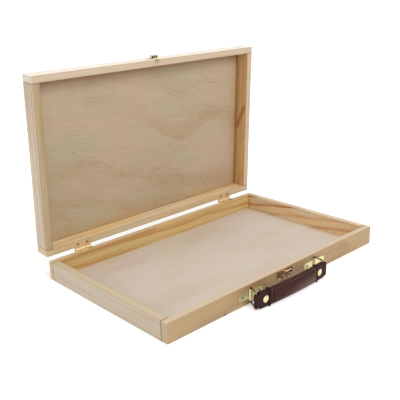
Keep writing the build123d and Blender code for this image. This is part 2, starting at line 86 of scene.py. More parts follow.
back = Vector((
    sin(camera_azimuth) * cos(camera_elevation),
    -cos(camera_azimuth) * cos(camera_elevation),
    sin(camera_elevation),
))
level_right = Vector((0, 0, 1)).cross(back).normalized()
level_up = back.cross(level_right)
right = level_right * cos(camera_roll) + level_up * sin(camera_roll)
up = level_up * cos(camera_roll) - level_right * sin(camera_roll)
aim = right * aim_right + up * aim_up + Vector((0, 0, aim_height))

camera = place_object("camera", bpy.data.cameras.new("camera"))
bpy.context.scene.camera = camera
turn = Matrix((right, up, back)).transposed().to_4x4()
camera.matrix_world = Matrix.Translation(aim + back * camera_distance) @ turn
camera.data.sensor_width = sensor_width
camera.data.lens = sensor_width * lens_to_sensor
camera.data.clip_start = nearest_seen
bpy.context.scene.view_settings.view_transform = "Standard"
print(f"lens {camera.data.lens:.1f} mm, camera at {camera.location.to_tuple(3)}")

# %% [markdown]
# ## Small helpers for shader nodes
#
# A material is a graph of nodes. Wires drawn by hand in the editor are quick to try, but a script
# is easier to read when it says what is worked out. A Wire stands for the output of a node, and
# each sum that is written with wires adds the maths nodes for it.


# %% Helpers that add shader nodes
class Wire:
    """The output of a node, which can be added, multiplied and so on, like a number."""
    def __init__(self, socket):
        self.socket = socket

    def __add__(self, other):
        return maths("ADD", self, other)

    def __sub__(self, other):
        return maths("SUBTRACT", self, other)

    def __mul__(self, other):
        return maths("MULTIPLY", self, other)

    def __truediv__(self, other):
        return maths("DIVIDE", self, other)

    def __abs__(self):
        return maths("ABSOLUTE", self)


def plug(socket, value):
    """Leads a wire into a socket, or fills it with a constant."""
    if isinstance(value, Wire):
        socket.id_data.links.new(value.socket, socket)
    elif socket.type == "VECTOR" and isinstance(value, float):
        socket.default_value = (value, value, value)
    else:
        socket.default_value = value


def new_node(tree, kind, inputs, **settings):
    """Adds a node, sets it up, and fills its inputs, which go by name or by number."""
    node = tree.nodes.new(kind)
    for name, value in settings.items():
        setattr(node, name, value)
    for key, value in dict(inputs).items():
        plug(node.inputs[key], value)
    return node


def wires(node):
    """The outputs of a node by name, as wires."""
    return {output.name: Wire(output) for output in node.outputs}


def add(tree, kind, inputs=(), **settings):
    """Adds a node and returns its outputs."""
    return wires(new_node(tree, kind, inputs, **settings))


def tree_of(values):
    """The node tree in which the first wire among some values lies."""
    return next(value.socket.id_data for value in values if isinstance(value, Wire))


def is_vector(value):
    """Whether a value is a vector or a colour rather than a number."""
    if isinstance(value, Wire):
        return value.socket.type in ("VECTOR", "RGBA")
    return isinstance(value, tuple)


def maths(operation, *values):
    """A maths node, or a vector maths node where a value is a vector or a colour."""
    kind = "ShaderNodeVectorMath" if any(map(is_vector, values)) else "ShaderNodeMath"
    made = add(tree_of(values), kind, enumerate(values), operation=operation)
    is_number = kind == "ShaderNodeMath" or operation in ("LENGTH", "DOT_PRODUCT")
    return made["Value" if is_number else "Vector"]


print("wires ready")

# %% [markdown]
# ## Patterns and colours
#
# Most of the look comes from masks, values from 0 to 1 that say where one colour gives way to
# another. A ColorRamp node makes one by hand, but a soft step between two named values is easier
# to change. Noise stretched along one axis and put through such a step makes streaks of grain.


# %% Helpers for patterns and colours
def length(vector):
    """The length of a vector, or how far it reaches."""
    return maths("LENGTH", vector)


def clamped(wire):
    """The same sum, kept between 0 and 1."""
    wire.socket.node.use_clamp = True
    return wire


def split(vector):
    """The three parts of a vector, by the names X, Y and Z."""
    return add(tree_of([vector]), "ShaderNodeSeparateXYZ", {"Vector": vector})


def object_place(tree):
    """Where a point of the object lies, in millimetres."""
    return add(tree, "ShaderNodeTexCoord")["Object"] * (1 / MM)


def noise_node(place, stretch, detail=2.0, roughness=0.5):
    """Noise that varies at a different rate along each axis, in cycles a millimetre."""
    settings = {"Vector": place * stretch, "Scale": 1.0, "Detail": detail, "Roughness": roughness}
    return add(tree_of([place]), "ShaderNodeTexNoise", settings)


def grain_noise(place, table):
    """A noise for each row of a table: its rates along and across the grain, detail, roughness."""
    return {
        name: noise_node(place, (along, across, across), detail, roughness)
        for name, (along, across, detail, roughness) in table.items()
    }


def ramp(value, low, high):
    """0 below low, 1 above high, and a soft step between; low may be the larger."""
    inputs = {"Value": value, "From Min": low, "From Max": high}
    made = add(tree_of([value]), "ShaderNodeMapRange", inputs, interpolation_type="SMOOTHSTEP")
    return made["Result"]


def peaks(noise, ranges):
    """Where each of these noises is high, as a soft step over its range."""
    return {name: ramp(noise[name]["Fac"], *span) for name, span in ranges.items()}


def between(value, rise, fall):
    """1 past the rise and before the fall, each a pair of values with a soft step between."""
    return ramp(value, *rise) * ramp(value, *fall)


def blend_colour(factor, first, second, how="MIX"):
    """The first colour where the factor is 0, and the second, or both mixed so, where it is 1."""
    # a Mix node has one set of sockets for each data type: 0 is the factor, 6 and 7 the colours
    inputs = {0: factor, 6: first, 7: second}
    settings = {"data_type": "RGBA", "blend_type": how}
    return Wire(new_node(tree_of(inputs.values()), "ShaderNodeMix", inputs, **settings).outputs[2])


def linear(red, green, blue):
    """A colour as a painter picks it, 0 to 255, in the linear light that the renderer uses."""
    def decode(value):
        # the numbers are those of the sRGB curve
        value /= 255
        return value / 12.92 if value <= 0.04045 else ((value + 0.055) / 1.055) ** 2.4
    return (decode(red), decode(green), decode(blue), 1.0)


print(f"a painter's middle grey is {linear(128, 128, 128)[0]:.2f} of full light")

# %% [markdown]
# ## Groups and materials
#
# A pattern that several materials share is built once, as a node group with named inputs, and each
# material places it with its own values. The Principled BSDF stays in the material itself, and
# wood, metal and leather all lead the same three things into it: a colour, a roughness and a bump.


# %% Helpers for groups and materials
def new_group(name, inputs, outputs):
    """A shader node group with named sockets: returns its tree, its inputs and its output node."""
    tree = bpy.data.node_groups.new(name, "ShaderNodeTree")
    for in_out, sockets in (("INPUT", inputs), ("OUTPUT", outputs)):
        for kind, labels in sockets.items():
            for label in labels:
                tree.interface.new_socket(label, in_out=in_out, socket_type=f"NodeSocket{kind}")
    return tree, wires(tree.nodes.new("NodeGroupInput")), tree.nodes.new("NodeGroupOutput")


def send(result, **values):
    """Leads wires to the outputs of a group."""
    for name, value in values.items():
        plug(result.inputs[name], value)


def place_group(group, **values):
    """Places a group: underscores stand for spaces, and its colours are a painter's, 0 to 255."""
    node = new_node(tree_of(values.values()), "ShaderNodeGroup", {}, node_tree=group)
    for name, value in values.items():
        socket = node.inputs[name.replace("_", " ")]
        is_paint = socket.type == "RGBA" and isinstance(value, tuple)
        plug(socket, linear(*value) if is_paint else value)
    return wires(node)


def new_material(name, **values):
    """A material whose Principled BSDF has these values: returns it and the BSDF node."""
    made = bpy.data.materials.new(name)
    made.use_nodes = True
    shader = made.node_tree.nodes["Principled BSDF"]
    for label, value in values.items():
        shader.inputs[label.replace("_", " ")].default_value = value
    return made, shader


def feed(shader, colour, roughness, height, depth):
    """Leads colour, roughness and a bump of some depth in millimetres into the BSDF."""
    bump = add(shader.id_data, "ShaderNodeBump", {"Height": height, "Distance": depth * MM})
    plug(shader.inputs["Base Color"], colour)
    plug(shader.inputs["Roughness"], roughness)
    plug(shader.inputs["Normal"], bump["Normal"])


def dress(node, material):
    """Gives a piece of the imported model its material."""
    nodes[node].data.materials.clear()
    nodes[node].data.materials.append(material)


print(f"{len(nodes)} nodes to dress")

# %% [markdown]
# ## The floor and the light
#
# The box stands on a plain white floor. A real white floor in soft light is a little darker than
# paper white, so the floor adds a faint glow of its own, which only the camera, mirrors and glass
# see. The wood isn't lit by it, and the soft shadow under the box stays.

# %% Make the floor and the light
floor_reach = 30.0
floor_drop = 0.2 * MM
floor_white = 0.86
near_glow = 0.42
far_glow = 0.85
glow_range = (0.14, 0.80)
sky_level = 0.45
white = (1, 1, 1, 1)
lamp_target = Vector((0, 0, 0.08))
# place in metres, power in watts and size in metres
lamps = {
    "top_light": ((0.45, 0.15, 1.90), 9.0, 1.4),
    "front_light": ((-0.22, -1.55, 1.64), 19.4, 0.8),
    "side_light": ((-1.20, 0.32, 0.45), 3.2, 0.7),
}


def seen_directly(tree):
    """1 for the rays that the camera sends, straight or by way of a mirror or glass."""
    rays = add(tree, "ShaderNodeLightPath")
    mirrored = maths("MAXIMUM", rays["Is Glossy Ray"], rays["Is Transmission Ray"])
    return maths("MAXIMUM", rays["Is Camera Ray"], mirrored)


corners = [(-1, -1), (1, -1), (1, 1), (-1, 1)]
floor_mesh = bpy.data.meshes.new("floor")
floor_mesh.from_pydata(
    [(x * floor_reach, y * floor_reach, -floor_drop) for x, y in corners], [], [(0, 1, 2, 3)]
)
floor = place_object("floor", floor_mesh)

paper, shader = new_material(
    "floor_paper", Base_Color=(floor_white, floor_white, floor_white, 1), Roughness=1.0,
    Specular_IOR_Level=0.0, Emission_Color=white,
)
farness = ramp(length(add(paper.node_tree, "ShaderNodeTexCoord")["Object"]), *glow_range)
glow = seen_directly(paper.node_tree) * (farness * (far_glow - near_glow) + near_glow)
plug(shader.inputs["Emission Strength"], glow)
floor_mesh.materials.append(paper)

world = bpy.data.worlds.new("studio")
bpy.context.scene.world = world
world.use_nodes = True
background = world.node_tree.nodes["Background"].inputs
background["Color"].default_value = white
plug(background["Strength"], seen_directly(world.node_tree) * (1 - sky_level) + sky_level)


def softbox(name, place, power, size):
    """A square lamp that faces the middle of the box."""
    lamp = bpy.data.lights.new(name, "AREA")
    lamp.energy = power
    lamp.size = size
    made = place_object(name, lamp)
    made.location = place
    made.rotation_euler = (lamp_target - Vector(place)).to_track_quat("-Z", "Y").to_euler()


for name, (place, power, size) in lamps.items():
    softbox(name, place, power, size)
print(f"floor and {len(lamps)} softboxes")

# %% [markdown]
# ## Pine
#
# Solid wood shows one three-dimensional pattern cut by six faces: straight lines on a board's
# edge, flame shapes on its flat, arcs on its end. A picture wrapped round a board can't do that,
# so the rings here are computed from the distance to the heart of the tree, a line that runs
# along the board somewhere outside it. Noise bends the rings a little, and most of the colour
# comes from slow clouds, because clear pine is a quiet wood.
#
# Three things break the quiet: a streak of dark resin on some boards, one pin knot on the front
# board, and the edge faces, which were planed last and take a colour of their own. That colour is
# partly painted light: paler on rims that face up, darker on rims that face the front.

# %% Start the pine group
pine_inputs = {
    "Vector": ["Place", "Facing", "Heart", "Lean", "Streak Start", "Streak End", "Knot"],
    "Float": ["Bend", "Ring Width", "Contrast", "Lines", "Seed", "Streak Width",
              "Streak Strength", "Knot Size"],
    "Color": ["Early Wood", "Late Wood", "Tint", "Rim Wood", "Streak"],
}
surface_outputs = {"Color": ["Color"], "Float": ["Roughness", "Height"]}
# cycles a millimetre along the grain and across it, detail, roughness
pine_noise = {
    "wobble": (0.005, 0.018, 2.0, 0.5),
    "fray": (0.02, 0.5, 2.0, 0.5),
    "fibre": (0.03, 1.3, 4.0, 0.6),
    "lines": (0.007, 0.30, 3.0, 0.6),
    "cloud": (0.009, 0.07, 3.0, 0.5),
    "pores": (0.11, 3.2, 1.0, 0.5),
}
pine_ranges = {"lines": (0.42, 0.75), "cloud": (0.36, 0.64), "pores": (0.66, 0.74)}
pine_seed_step = (311.0, 47.0, 23.0)

pine_group, given, result = new_group("pine_wood", pine_inputs, surface_outputs)
noise = grain_noise(given["Place"] + given["Seed"] * pine_seed_step, pine_noise)
peak = peaks(noise, pine_ranges)
fray = noise["fray"]["Fac"]
fibre = noise["fibre"]["Fac"]
print(f"pine group: {len(noise)} noises")

# %% [markdown]
# The rings come first. How far a point lies from the heart, counted in ring widths, says in which
# year the wood there grew and how late in that year.

# %% Draw the year rings
noise_middle = (0.5, 0.5, 0.5)
wobble_reach = (0, 4, 4)
across_grain = (0, 1, 1)
ring_fray = 0.16
darkening_range = (0.25, 0.95)
ending_range = (1.0, 0.93)
weakest_year = 0.4

# the distance from the heart, which leans and is bent by slow noise
bend = (noise["wobble"]["Color"] - noise_middle) * wobble_reach * given["Bend"]
lean = given["Lean"] * split(given["Place"])["X"]
radius = length((given["Place"] - given["Heart"] + lean + bend) * across_grain)
rings = radius / given["Ring Width"] + fray * ring_fray

# each year the wood darkens slowly and ends sharply, and no two years are alike
year = maths("FRACT", rings)
darkening = ramp(year, *darkening_range)
whole_year = {"W": maths("FLOOR", rings)}
luck = add(pine_group, "ShaderNodeTexWhiteNoise", whole_year, noise_dimensions="1D")["Value"]
uneven = luck * (1 - weakest_year) + weakest_year
late = darkening * darkening * ramp(year, *ending_range) * uneven

amount = clamped(late * given["Contrast"] + peak["lines"] * given["Lines"])
colour = blend_colour(peak["cloud"], given["Early Wood"], given["Tint"])
colour = blend_colour(amount, colour, given["Late Wood"])
print(f"pine group with its rings: {len(pine_group.nodes)} nodes")

# %% [markdown]
# A streak is found by the distance from a line, and a knot by the distance from a point. The way
# that a face looks says whether it is an edge face or end grain. The finest noise comes last:
# fibres and pores shade the colour and roughen the surface.

# %% Add the streak, the knot and the edge faces
streak_fray = 0.5
streak_range = (1.3, 0.2)
knot_squeeze = (0.6, 1, 1)
knot_range = (1.2, 0.7)
knot_colour = linear(44, 32, 22)
facing_range = (0.55, 0.85)
rim_strength = 0.66
end_strength = 0.45
end_colour = linear(206, 190, 168)
plain_shade = 0.90
fibre_shade = 0.20
pore_shade = 0.08
plain_roughness = 0.42
fibre_roughness = 0.2
fibre_height = 0.7
late_height = 0.35
pore_height = 0.5

# a streak of darker, resinous wood between two points
run = given["Streak End"] - given["Streak Start"]
from_start = given["Place"] - given["Streak Start"]
share = clamped(maths("DOT_PRODUCT", from_start, run) / maths("DOT_PRODUCT", run, run))
off_streak = length(from_start - run * share) / given["Streak Width"] + fray * streak_fray
streak = ramp(off_streak, *streak_range) * given["Streak Strength"]
colour = blend_colour(streak, colour, given["Streak"])

# a pin knot, a small dark dot that is a little longer along the grain
off_knot = length((given["Place"] - given["Knot"]) * knot_squeeze) / given["Knot Size"]
colour = blend_colour(ramp(off_knot, *knot_range), colour, knot_colour)

# the edge faces take the rim colour, partly planed wood and partly painted light, and end grain is a
# little duller
facing = split(given["Facing"])
on_rim = ramp(abs(facing["Z"]), *facing_range)
colour = blend_colour(on_rim * rim_strength, colour, given["Rim Wood"])
on_end = ramp(abs(facing["X"]), *facing_range)
colour = blend_colour(on_end * end_strength, colour, end_colour)

send(
    result, Color=colour * (fibre * fibre_shade + plain_shade - peak["pores"] * pore_shade),
    Roughness=fibre * fibre_roughness + plain_roughness,
    Height=fibre * fibre_height + late * late_height - peak["pores"] * pore_height,
)
print(f"pine group: {len(pine_group.nodes)} nodes")

# %% [markdown]
# ## Plywood
#
# The face of plywood is a thin sheet peeled off a turning log. It cuts the rings at a very low
# angle, so they show as large, faint flames, and the cut vessels show as short dark flecks along
# the grain. One tapering flame is drawn where it should stand, slow noise tints the rest, and
# stretched noise makes the flecks.

# %% Start the plywood group
ply_inputs = {
    "Vector": ["Place", "Flame Tip"],
    "Float": ["Seed", "Grain Turn", "Flame Slope", "Flame Tilt", "Flame Strength",
              "Fleck Strength", "Lines"],
    "Color": ["Pale", "Deep", "Cool", "Fleck"],
}
# cycles a millimetre along the grain and across it, detail, roughness
ply_noise = {
    "drift": (0.012, 0.04, 3.0, 0.5),
    "slow": (0.008, 0.022, 4.0, 0.55),
    "lines": (0.022, 0.62, 3.0, 0.65),
    "bold": (0.060, 1.0, 1.5, 0.5),
    "patch": (0.014, 0.035, 2.0, 0.5),
    "fine": (0.16, 4.0, 2.0, 0.5),
    "warm": (0.007, 0.03, 3.0, 0.6),
}
small_fleck_noise = {"small": (0.13, 2.2, 1.5, 0.5)}
ply_ranges = {
    "slow": (0.42, 0.60), "lines": (0.46, 0.74), "bold": (0.60, 0.72), "small": (0.58, 0.72),
}
small_fleck_shift = (31, 57, 11)
ply_seed_step = (173.0, 89.0, 7.0)

ply_group, given, result = new_group("plywood_face", ply_inputs, surface_outputs)
cut = {"Vector": given["Place"] + given["Seed"] * ply_seed_step, "Angle": given["Grain Turn"]}
spot = add(ply_group, "ShaderNodeVectorRotate", cut, rotation_type="Z_AXIS")["Vector"]
noise = grain_noise(spot, ply_noise) | grain_noise(spot + small_fleck_shift, small_fleck_noise)
peak = peaks(noise, ply_ranges)
fine = noise["fine"]["Fac"]
patch = noise["patch"]["Fac"]
print(f"plywood group: {len(noise)} noises")

# %% [markdown]
# The flame is drawn by depth. A rounded line falls away on both sides of the tip, slow noise bends
# it, and how deep a point lies inside the line says to which part of the flame it belongs.

# %% Draw the flame
tip_roundness = 150.0
tip_drop = 12.0
flame_drift = 30.0
flame_squeeze = (0.7, 1, 0)
flame_reach = (100.0, 25.0)
# how deep inside the flame each part starts and ends, in millimetres
tongue_edges = ((-2.5, 4.0), (36.0, 12.0))
border_edges = ((-30.0, -8.0), (0.0, -4.0))
band_edges = ((30.0, 38.0), (54.0, 44.0))

# a flame: a rounded tongue of warm wood with a cool border, bent by slow noise
from_tip = given["Place"] - given["Flame Tip"]
reach = split(from_tip)
aside = maths("SQRT", reach["X"] * reach["X"] + tip_roundness) - tip_drop
outside = reach["Y"] + aside * given["Flame Slope"] + reach["X"] * given["Flame Tilt"]
depth = noise["drift"]["Fac"] * flame_drift - flame_drift / 2 - outside
nearby = ramp(length(from_tip * flame_squeeze), *flame_reach) * given["Flame Strength"]
tongue = between(depth, *tongue_edges) * nearby
border = (between(depth, *border_edges) + between(depth, *band_edges)) * nearby
print(f"plywood group with its flame: {len(ply_group.nodes)} nodes")

# %% [markdown]
# The veneer is never plain. Short dark flecks and fine streaks gather in patches, over slow clouds
# of warm and cool wood.

# %% Add flecks, streaks and clouds
small_fleck_strength = 0.5
fleck_patch_range = (0.36, 0.60)
line_patch_range = (0.30, 0.62)
warm_range = (0.45, 0.68)
warm_strength = 0.45
cool_strength = 0.8
pale_shade = 0.95
fine_shade = 0.10
smooth_roughness = 0.5
fine_roughness = 0.16
fine_height = 0.5
fleck_height = 0.8

# flecks and streaks, bolder in some places than in others
fleck = peak["bold"] * ramp(patch, *fleck_patch_range)
fleck = clamped(fleck + peak["small"] * small_fleck_strength)
streaky = peak["lines"] * ramp(patch, *line_patch_range)

# slow clouds of warm and cool wood under the flame
warm = split(noise["warm"]["Color"])["Z"]
warmth = tongue + ramp(warm, *warm_range) * warm_strength
warmth = clamped(warmth + streaky * given["Lines"])
coolness = clamped(border + peak["slow"] * cool_strength)
colour = blend_colour(coolness, given["Pale"], given["Cool"])
colour = blend_colour(warmth, colour, given["Deep"])
colour = blend_colour(fleck * given["Fleck Strength"], colour, given["Fleck"])

send(
    result, Color=colour * (fine * fine_shade + pale_shade),
    Roughness=fine * fine_roughness + smooth_roughness,
    Height=fine * fine_height - fleck * fleck_height,
)
print(f"plywood group: {len(ply_group.nodes)} nodes")

# %% [markdown]
# ## Painted edge shade and glue lines
#
# Two things are drawn at a board's edges. Sanding rounds the long edges, so they catch less light
# from above, and that shade is painted into their colour. A dark line of glue and dust shows where
# a board ends against the next. Both come from the board's own size. A point on a long face has no
# depth under that face, so the larger of its two depths across the grain is its distance from the
# nearest long edge. The glue lines are drawn only on the end boards, because their ends butt
# against the long ones.

# %% Build the edge group
edge_shade_range = (2.4, 0.1)
glue_range = (2.0, 0.8)
along_grain_range = (0.8, 0.5)


def depth_inside(given, limit):
    """How far inside a limit the point lies along each axis, whichever side it is on."""
    return split(given[limit] - abs(given["Place"]))


edge_inputs = {"Vector": ["Place", "Facing", "Half Size"]}
edge_group, given, result = new_group("board_edges", edge_inputs, {"Float": ["Edge", "Joint"]})
depth = depth_inside(given, "Half Size")
# painted edge shade: the Edge mask says where the colour is darkened near the long edges
edge = ramp(maths("MAXIMUM", depth["Y"], depth["Z"]), *edge_shade_range)
along_grain = ramp(abs(split(given["Facing"])["X"]), *along_grain_range)
send(result, Edge=edge, Joint=ramp(depth["X"], *glue_range) * along_grain)
print(f"edge group: {len(edge_group.nodes)} nodes")

# %% [markdown]
# ## Painted shade and reflected light at the edges of the panels
#
# A panel is let into a rabbet under the boards. Where it meets them its colour is darkened with
# painted shade, and the wood beside them takes a warm tone of painted light reflected from the
# boards that stand over it. The shade is widest at the panel's front, where it stands for the
# shadow of that board, next at its two ends, and faint behind. Both are only on the inner face,
# so the group also needs to know which way that face looks.

# %% Build the corner group
end_shade_span = (7.0, 2.0)
front_shadow_span = (13.0, 1.0)
back_shade_span = (3.5, 0.5)
back_shade_strength = 0.3
bounce_reach = (20.0, 0.0)
inside_range = (0.5, 0.9)

panel_shade_inputs = {"Vector": ["Place", "Facing", "Opening"], "Float": ["Inner Side"]}
panel_shade_group, given, result = new_group("panel_painted_shade", panel_shade_inputs, {"Float": ["Gap", "Warm"]})
depth = depth_inside(given, "Opening")
from_front = split(given["Opening"] + given["Place"])["Y"]
# painted shade along the boards, widest at the front as a painted shadow of that board
painted_shade = maths("MAXIMUM", ramp(depth["X"], *end_shade_span), ramp(from_front, *front_shadow_span))
painted_shade = maths("MAXIMUM", painted_shade, ramp(depth["Y"], *back_shade_span) * back_shade_strength)
# painted light reflected from the boards, warmest next to them
nearest = maths("MINIMUM", depth["X"], depth["Y"])
inside = ramp(split(given["Facing"])["Z"] * given["Inner Side"], *inside_range)
send(result, Gap=painted_shade * inside, Warm=ramp(nearest, *bounce_reach) * inside)
print(f"corner group: {len(panel_shade_group.nodes)} nodes")

# %% [markdown]
# ## The boards and panels
#
# Each board gets a material of its own, because each was cut from another place in the tree. The
# material first brings the board to the middle of its own little workshop, in millimetres: x runs
# along its grain, and z square to the panel that it frames. The lid's pieces are turned flat for
# that, by the angle at which the lid stands open.

# %% Helpers that dress a board
lid_turn = radians(joints["lid_hinge"]["range_deg"][1])
pine_bump = 0.12
pine_finish = {"Coat_Weight": 0.06, "Coat_Roughness": 0.45}
edge_strength = 0.35
edge_shade = linear(214, 196, 170)
glue_shade = linear(158, 136, 116)
no_knot = 0.01


def board_place(tree, node, turn):
    """Where a point of the node lies in the board's own frame, and which way its face looks."""
    low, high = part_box(node)
    middle = turn.to_matrix() @ ((low + high) / 2 / MM)
    source = add(tree, "ShaderNodeTexCoord")
    place = add(tree, "ShaderNodeMapping", {
        "Vector": source["Object"], "Scale": [1 / MM] * 3, "Rotation": turn, "Location": -middle,
    })
    facing = add(tree, "ShaderNodeMapping", vector_type="VECTOR", inputs={
        "Vector": source["Normal"], "Rotation": turn,
    })
    return place["Vector"], facing["Vector"]


def half_size(node, turn):
    """Half the size of a piece along each axis of its own frame, in millimetres."""
    points = [turn.to_matrix() @ vertex.co for vertex in nodes[node].data.vertices]
    spans = [max(p[i] for p in points) - min(p[i] for p in points) for i in range(3)]
    return [span / 2 / MM for span in spans]


def pine_board(node, turn, glue=0.0, **wood):
    """One pine board; glue is how dark its ends are, and wood holds the pine group's inputs."""
    board, shader = new_material(f"pine_{node}", **pine_finish)
    place, facing = board_place(board.node_tree, node, turn)
    wood = {"Knot_Size": no_knot} | wood
    grain = place_group(pine_group, Place=place, Facing=facing, **wood)
    edges = place_group(edge_group, Place=place, Facing=facing, Half_Size=half_size(node, turn))
    # painted shade on the rounded long edges, which catch less light from above
    painted_light = edges["Edge"] * edge_strength
    colour = blend_colour(painted_light, grain["Color"], edge_shade, "MULTIPLY")
    colour = blend_colour(edges["Joint"] * glue, colour, glue_shade, "MULTIPLY")
    feed(shader, colour, grain["Roughness"], grain["Height"], pine_bump)
    dress(node, board)


print(f"lid turned flat by {joints['lid_hinge']['range_deg'][1]:.0f} degrees")

# %% [markdown]
# Every board says where its heart lies and how it leans, how wide and strong its rings are, and
# its own colours. Three boards also have a streak of resin, and the front board has the knot.

# %% Give every board its own piece of the tree
quarter = pi / 2
along_x = Euler((0, 0, 0))
along_y = Euler((0, 0, -quarter))
lid_along_x = Euler((lid_turn, 0, 0))
lid_along_y = Euler((lid_turn, 0, -quarter))

pine_board("tray_front_board", along_x, Heart=(0, 40, 2), Lean=(0, -0.075, 0.02), Bend=4.0,
           Ring_Width=14.0, Contrast=0.45, Lines=0.35, Seed=1.0, Early_Wood=(199, 168, 124),
           Late_Wood=(164, 122, 78), Tint=(192, 164, 120), Rim_Wood=(226, 206, 182),
           Streak_Start=(168, -4, -3), Streak_End=(128, -4, -9), Streak_Width=4.0,
           Streak_Strength=0.6, Streak=(186, 140, 96), Knot=(-104, -4.5, -12), Knot_Size=1.6)
pine_board("tray_back_board", along_x, Heart=(0, -16, 46), Lean=(0, 0, 0.05), Bend=7.0,
           Ring_Width=15.0, Contrast=0.8, Lines=0.45, Seed=2.0, Early_Wood=(222, 190, 128),
           Late_Wood=(192, 138, 70), Tint=(212, 186, 124), Rim_Wood=(220, 198, 164),
           Streak_Start=(-188, -4, 9), Streak_End=(-20, -4, 10), Streak_Width=5.0,
           Streak_Strength=0.8, Streak=(190, 138, 76))
pine_board("tray_left_board", along_y, glue=0.9, Heart=(0, 70, 30), Lean=(0, 0.02, 0), Bend=4.0,
           Ring_Width=9.0, Contrast=0.4, Lines=0.6, Seed=3.0, Early_Wood=(210, 197, 175),
           Late_Wood=(192, 166, 130), Tint=(210, 192, 170), Rim_Wood=(211, 190, 158))
pine_board("tray_right_board", along_y, glue=0.9, Heart=(0, 5, 65.5), Lean=(0, 0, 0.15), Bend=3.0,
           Ring_Width=13.7, Contrast=1.0, Lines=0.3, Seed=4.0, Early_Wood=(238, 200, 146),
           Late_Wood=(192, 126, 64), Tint=(232, 214, 180), Rim_Wood=(219, 198, 168))
# the lid's front board faces up while the lid stands open, so its pale colours are partly painted
# light from above
pine_board("lid_front_board", lid_along_x, Heart=(0, 50, 18), Lean=(0, 0.015, 0), Bend=3.0,
           Ring_Width=5.0, Contrast=0.4, Lines=0.4, Seed=5.0, Early_Wood=(254, 246, 232),
           Late_Wood=(206, 180, 148), Tint=(254, 243, 228), Rim_Wood=(203, 172, 132))
pine_board("lid_back_board", lid_along_x, Heart=(0, -45, 26), Lean=(0, 0.02, 0), Bend=4.0,
           Ring_Width=7.0, Contrast=0.5, Lines=0.5, Seed=6.0, Early_Wood=(240, 205, 148),
           Late_Wood=(200, 164, 116), Tint=(232, 214, 184), Rim_Wood=(212, 190, 152))
pine_board("lid_left_board", lid_along_y, glue=0.5, Heart=(0, 26, 34), Lean=(0, 0.01, 0), Bend=2.0,
           Ring_Width=8.0, Contrast=0.9, Lines=0.6, Seed=7.0, Early_Wood=(214, 199, 171),
           Late_Wood=(170, 137, 95), Tint=(216, 195, 173), Rim_Wood=(186, 162, 120))
pine_board("lid_right_board", lid_along_y, glue=0.5, Heart=(0, 36, -30), Lean=(0, 0.02, 0),
           Bend=3.0, Ring_Width=9.0, Contrast=0.6, Lines=0.5, Seed=8.0, Early_Wood=(222, 188, 130),
           Late_Wood=(188, 126, 70), Tint=(214, 172, 122), Rim_Wood=(216, 196, 175),
           Streak_Start=(-23, 5, -7), Streak_End=(9, 5, 6.5), Streak_Width=6.0,
           Streak_Strength=0.85, Streak=(176, 100, 48))
print("eight boards")

# %% [markdown]
# The two panels are dressed alike. Both frames have the same opening, so one size serves for the
# painted shade round both, and the lid's inner face looks the other way. The painted shade and
# light are fainter in the tray.

# %% Give both panels their veneer
end_wall = 10.0
ply_bump = 0.06
bounce_colour = linear(252, 242, 222)
panel_shade_colour = linear(196, 172, 134)
half_length = half_size("tray_front_board", along_x)[0]
half_width = half_size("tray_left_board", along_y)[0]
opening = (half_length - end_wall, half_width, 0.0)


def ply_panel(node, turn, inner_side, painted_light_strength, **veneer):
    """One panel; inner_side is 1 or -1, and veneer holds the plywood group's inputs."""
    panel, shader = new_material(f"plywood_{node}")
    place, facing = board_place(panel.node_tree, node, turn)
    face = place_group(ply_group, Place=place, **veneer)
    border = place_group(
        panel_shade_group, Place=place, Facing=facing, Opening=opening, Inner_Side=inner_side
    )
    # painted reflected light and painted shade near the boards
    warm = border["Warm"] * painted_light_strength
    colour = blend_colour(warm, face["Color"], bounce_colour, "MULTIPLY")
    colour = blend_colour(border["Gap"] * painted_light_strength, colour, panel_shade_colour, "MULTIPLY")
    feed(shader, colour, face["Roughness"], face["Height"], ply_bump)
    dress(node, panel)


ply_panel("tray_bottom_panel", along_x, 1.0, 0.35, Seed=1.0, Flame_Tip=(60, -30, 0),
          Flame_Strength=0.0, Grain_Turn=radians(-4.0), Lines=0.25, Pale=(213, 200, 188),
          Deep=(199, 178, 154), Cool=(209, 198, 178), Fleck=(175, 152, 134), Fleck_Strength=0.35)
ply_panel("lid_panel", lid_along_x, -1.0, 1.0, Seed=2.0, Flame_Tip=(56, 14, 0), Flame_Slope=0.54,
          Flame_Tilt=-0.10, Flame_Strength=0.55, Grain_Turn=radians(-9.0), Lines=0.5,
          Pale=(199, 176, 149), Deep=(184, 151, 116), Cool=(188, 176, 144), Fleck=(142, 104, 82),
          Fleck_Strength=0.55)
print("two panels")

# %% [markdown]
# ## Metal
#
# The hinges, the catch and the handle's fittings are thin pressed brass. A mirror has no colour
# of its own, so most of what shows is the white room. What makes small brass parts look real is
# the dark in every corner: partly a film of old lacquer and polish, and partly painted shade and
# dark reflection, which the white room doesn't give. An Ambient Occlusion node finds those
# corners, and the material's colour is painted brown there.

# %% Make the metals
corner_reach = 2.2 * MM
corner_samples = 8
corner_range = (0.85, 0.25)
dull_stretch = (0.35, 0.35, 0.35)
dull_range = (0.42, 0.72)
dull_roughness = 0.16
tarnish_strength = 0.45
scratch_stretch = (1.2, 9.0, 9.0)
scratch_height = 0.6
scratch_bump = 0.01
brown_film_and_shade = (74, 50, 26)
